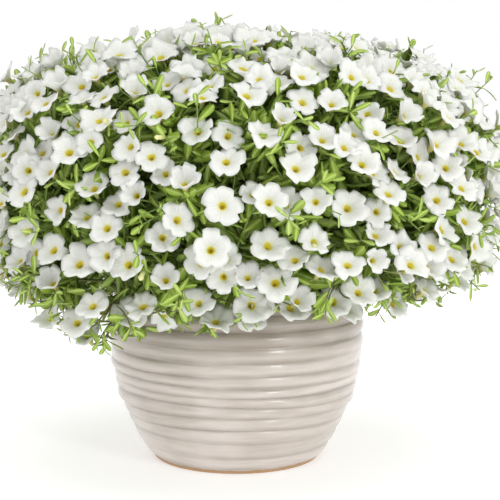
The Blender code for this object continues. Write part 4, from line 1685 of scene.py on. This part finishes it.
def petal_finish():
    made = Finish("petals", Roughness=0.55, Specular_IOR_Level=0.3,
                  Subsurface_Weight=0.5, Subsurface_Scale=0.003,
                  Subsurface_Radius=(1.0, 1.0, 0.9))
    x, y, side = made.parts(made.field("mark", "Vector"))
    reach = made.maths("SQRT", made.maths("ADD", made.times(x, x), made.times(y, y)))
    turn = made.maths("ARCTAN2", y, x)

    def waves(operation, count):
        wave = made.maths(operation, made.times(turn, count))
        return made.maths("ABSOLUTE", wave)

    # Fine veins, a line from each notch between the lobes that is partly vein and partly
    # painted crease shade, and painted shade of soft folding across each lobe, all
    # fading to the rim
    wave = waves("SINE", VEINS / 2)
    fine = made.ramp(wave, 0.0, 0.45, 1.0, 0.0)
    # Painted shade of two soft folds across each lobe
    fold_shade = made.ramp(waves("COSINE", 5.0), 0.0, 0.6, 0.22, 0.0)
    rib = made.ramp(waves("SINE", 2.5), 0.0, 0.16, 1.0, 0.0)
    vein_and_shade = made.maths("MAXIMUM", made.times(fine, 0.50), made.times(rib, 0.75))
    vein_and_shade = made.maths("MAXIMUM", vein_and_shade, fold_shade)
    streaks = made.ramp(made.noise(420.0), 0.30, 0.70, 0.35, 1.0)
    fade = made.ramp(reach, 0.95, 0.25, 0.0, 1.0)
    vein_and_shade = made.times(made.times(vein_and_shade, streaks), fade)
    colour = made.mix(vein_and_shade, PETAL, PETAL_VEIN_AND_SHADE)
    # The eye, with a ragged edge
    stain = made.maths("MULTIPLY_ADD", made.noise(210.0), 0.16, -0.08)
    rays = made.times(wave, 0.035)
    far = made.maths("ADD", made.maths("ADD", reach, stain), rays)
    colour = made.mix(made.ramp(far, 0.42, 0.18, 0.0, 0.55), colour, PETAL_GLOW)
    colour = made.mix(made.ramp(far, 0.250, 0.195), colour, EYE_GOLD)
    colour = made.mix(made.ramp(far, 0.16, 0.08, 0.0, 0.80), colour, EYE_HEART)
    tube = made.mix(made.ramp(reach, 0.55, 0.15), PETAL, TUBE)
    made.feed(made.mix(side, colour, tube), "Base Color")
    return made.material


# %% Blooms on their stalks
draw = random.Random(PLANT_SEED + 40)
bloom_shapes = [bloom_shape(*form, draw) for form in BLOOM_FORMS]


def bloom_spot(bloom):
    across = beside(bloom["facing"], bloom["spin"])
    return (bloom["centre"], frame_on(bloom["facing"], across), bloom["radius"],
            draw.randrange(len(BLOOM_FORMS)), draw.random())


petal_white = petal_finish()
for title, group in (("blooms", blooms[:-len(extra_blooms)]),
                     ("more_blooms", extra_blooms)):
    cloud = [bloom_spot(bloom) for bloom in group]
    hand_over(scatter(title, cloud, bloom_shapes, petal_white), "petals")

# %% [markdown]
# Under each bloom five narrow sepals hold the tube. They are small, so one
# shape is enough for all of them, and they share the leaves' green.

# %% Sepals
SEPAL_LENGTH = 0.0085
SEPAL_SINK = 0.0012
SEPAL_ROWS = ((0.0, 0.09, 0.07), (0.5, 0.24, 0.09))
SEPAL_TIP = 0.42
SEPAL_FACES = ((0, 2, 1), (0, 1, 4, 3), (1, 2, 5, 4), (2, 0, 3, 5),
               (3, 4, 6), (4, 5, 6), (5, 3, 6))


def sepals_shape():
    """Five pointed sepals round +Z, one unit long."""
    points, marks, faces = [], [], []

    def add(turn, reach, aside, height, mark):
        points.append((reach * math.cos(turn) - aside * math.sin(turn),
                       reach * math.sin(turn) + aside * math.cos(turn), height))
        marks.append(mark)

    for k in range(LOBES):
        turn = math.tau * k / LOBES
        faces += [[len(points) + corner for corner in face] for face in SEPAL_FACES]
        for along, reach, half in SEPAL_ROWS:
            add(turn, reach, -half, along, (-0.6, along, 0.0))
            add(turn, reach, half, along, (0.6, along, 0.0))
            add(turn, reach + 0.03, 0.0, along - 0.02, (0.0, along, 1.0))
        add(turn, SEPAL_TIP, 0.0, 1.0, (0.0, 1.0, 0.5))
    return mesh_of("sepals", points, faces, smooth=False, mark=marks)


sepal_cloud = [(bloom["neck"] - bloom["facing"] * SEPAL_SINK,
                frame_on(bloom["facing"], beside(bloom["facing"], 0.0)),
                SEPAL_LENGTH, 0, draw.uniform(0.3, 0.8)) for bloom in blooms]
hand_over(scatter("sepals", sepal_cloud, [sepals_shape()], leaf_green), "foliage")

# %% [markdown]
# Between the blooms slim buds stand on some of the twigs. Their petals are
# still wound up, so the rings of points turn as they climb. They are green
# at the foot and pale yellow at the tip.

# %% Buds
BUD_SHARE = 0.05
BUD_ROWS = ((0.0, 0.09), (0.18, 0.15), (0.50, 0.12), (0.78, 0.15), (0.95, 0.08))
BUD_SIDES = 6
BUD_LENGTH = 0.0150
BUD_LENGTHS = (0.7, 1.2)
BUD_SWELLS = (0.8, 1.0, 1.15)
BUD_SINK = 0.0005
BUD_SWAY = 0.35
BUD_GREEN = rgb(0.42, 0.48, 0.14)
BUD_PALE = rgb(0.70, 0.68, 0.32)


def bud_shape(swell):
    """A closed bud along +Z, one unit long, with its petals wound up."""
    points = []
    for along, radius in BUD_ROWS:
        for k in range(BUD_SIDES):
            turn = math.tau * k / BUD_SIDES + along
            wide = radius * swell * (1.0 + 0.12 * (k % 2))
            points.append(round_point(wide, turn, along))
    faces = tube_faces(len(BUD_ROWS), BUD_SIDES)
    faces += fan(len(points) - BUD_SIDES, BUD_SIDES)
    faces.append(range(BUD_SIDES - 1, -1, -1))
    points.append((0.0, 0.0, 1.0))
    return mesh_of("bud", points, faces, mark=[(0.0, z, 0.0) for _, _, z in points])


def bud_finish():
    made = Finish("buds", Roughness=0.5)
    along = made.parts(made.field("mark", "Vector"))[1]
    made.feed(made.mix(made.ramp(along, 0.15, 0.6), BUD_GREEN, BUD_PALE), "Base Color")
    return made.material


def bud_spots():
    spots = []
    for line, normal in outer_twigs:
        if draw.random() > BUD_SHARE:
            continue
        direction = (normal + random_vector(draw) * BUD_SWAY).normalized()
        length = BUD_LENGTH * draw.uniform(*BUD_LENGTHS)
        spots.append((line[-1] - direction * BUD_SINK,
                      frame_on(direction, beside(direction, 0.0)), length,
                      draw.randrange(len(BUD_SWELLS)), draw.random()))
    return spots


hand_over(scatter("buds", bud_spots(), [bud_shape(swell) for swell in BUD_SWELLS],
                  bud_finish()), "petals")

# %% [markdown]
# ## Floor, light and camera
#
# The object stands on a plain white floor under soft light: a white sky and
# two panels, one above and one to the right. The camera is level with the
# upper half of the dome and looks down a few degrees, as in the photograph.

# %% Floor
FLOOR_REACH = 6

corners = [(x * FLOOR_REACH, y * FLOOR_REACH, 0)
           for x, y in ((-1, -1), (1, -1), (1, 1), (-1, 1))]
floor = place("floor", mesh_of("floor", corners, [(0, 1, 2, 3)]))
floor.data.materials.append(Finish(
    "white floor", Roughness=0.8, Base_Color=rgb(0.93, 0.93, 0.93),
    Emission_Color=rgb(1.0, 1.0, 1.0), Emission_Strength=0.30).material)

# %% Light
AIM = Vector((0.0, 0.0, 0.22))


def panel(name, spot, size, power):
    """A square panel of light that looks at the plant."""
    lamp = bpy.data.lights.new(name, "AREA")
    lamp.size = size
    lamp.energy = power
    made = place(name, lamp)
    made.location = spot
    made.rotation_euler = (AIM - Vector(spot)).to_track_quat("-Z", "Y").to_euler()


panel("top panel", (0.4, -0.9, 2.1), 1.0, 7)
panel("right panel", (1.35, -1.9, 0.9), 0.45, 11.5)

world = bpy.data.worlds.new("studio")
bpy.context.scene.world = world
world.use_nodes = True
sky = world.node_tree.nodes["Background"]
sky.inputs["Color"].default_value = rgb(1.0, 1.0, 1.0)
sky.inputs["Strength"].default_value = 1.0
bpy.context.scene.view_settings.view_transform = "Standard"

# %% Camera
CAMERA_PLACE = (0.0, -1.25, 0.336)
CAMERA_PITCH = math.radians(6.05)
LENS = 91.5
SHIFT = 0.027

lens = bpy.data.cameras.new("camera")
lens.lens = LENS
lens.sensor_width = 36.0
lens.shift_x = SHIFT
camera = place("camera", lens)
camera.location = CAMERA_PLACE
camera.rotation_euler = (math.pi / 2 - CAMERA_PITCH, 0.0, 0.0)
bpy.context.scene.camera = camera
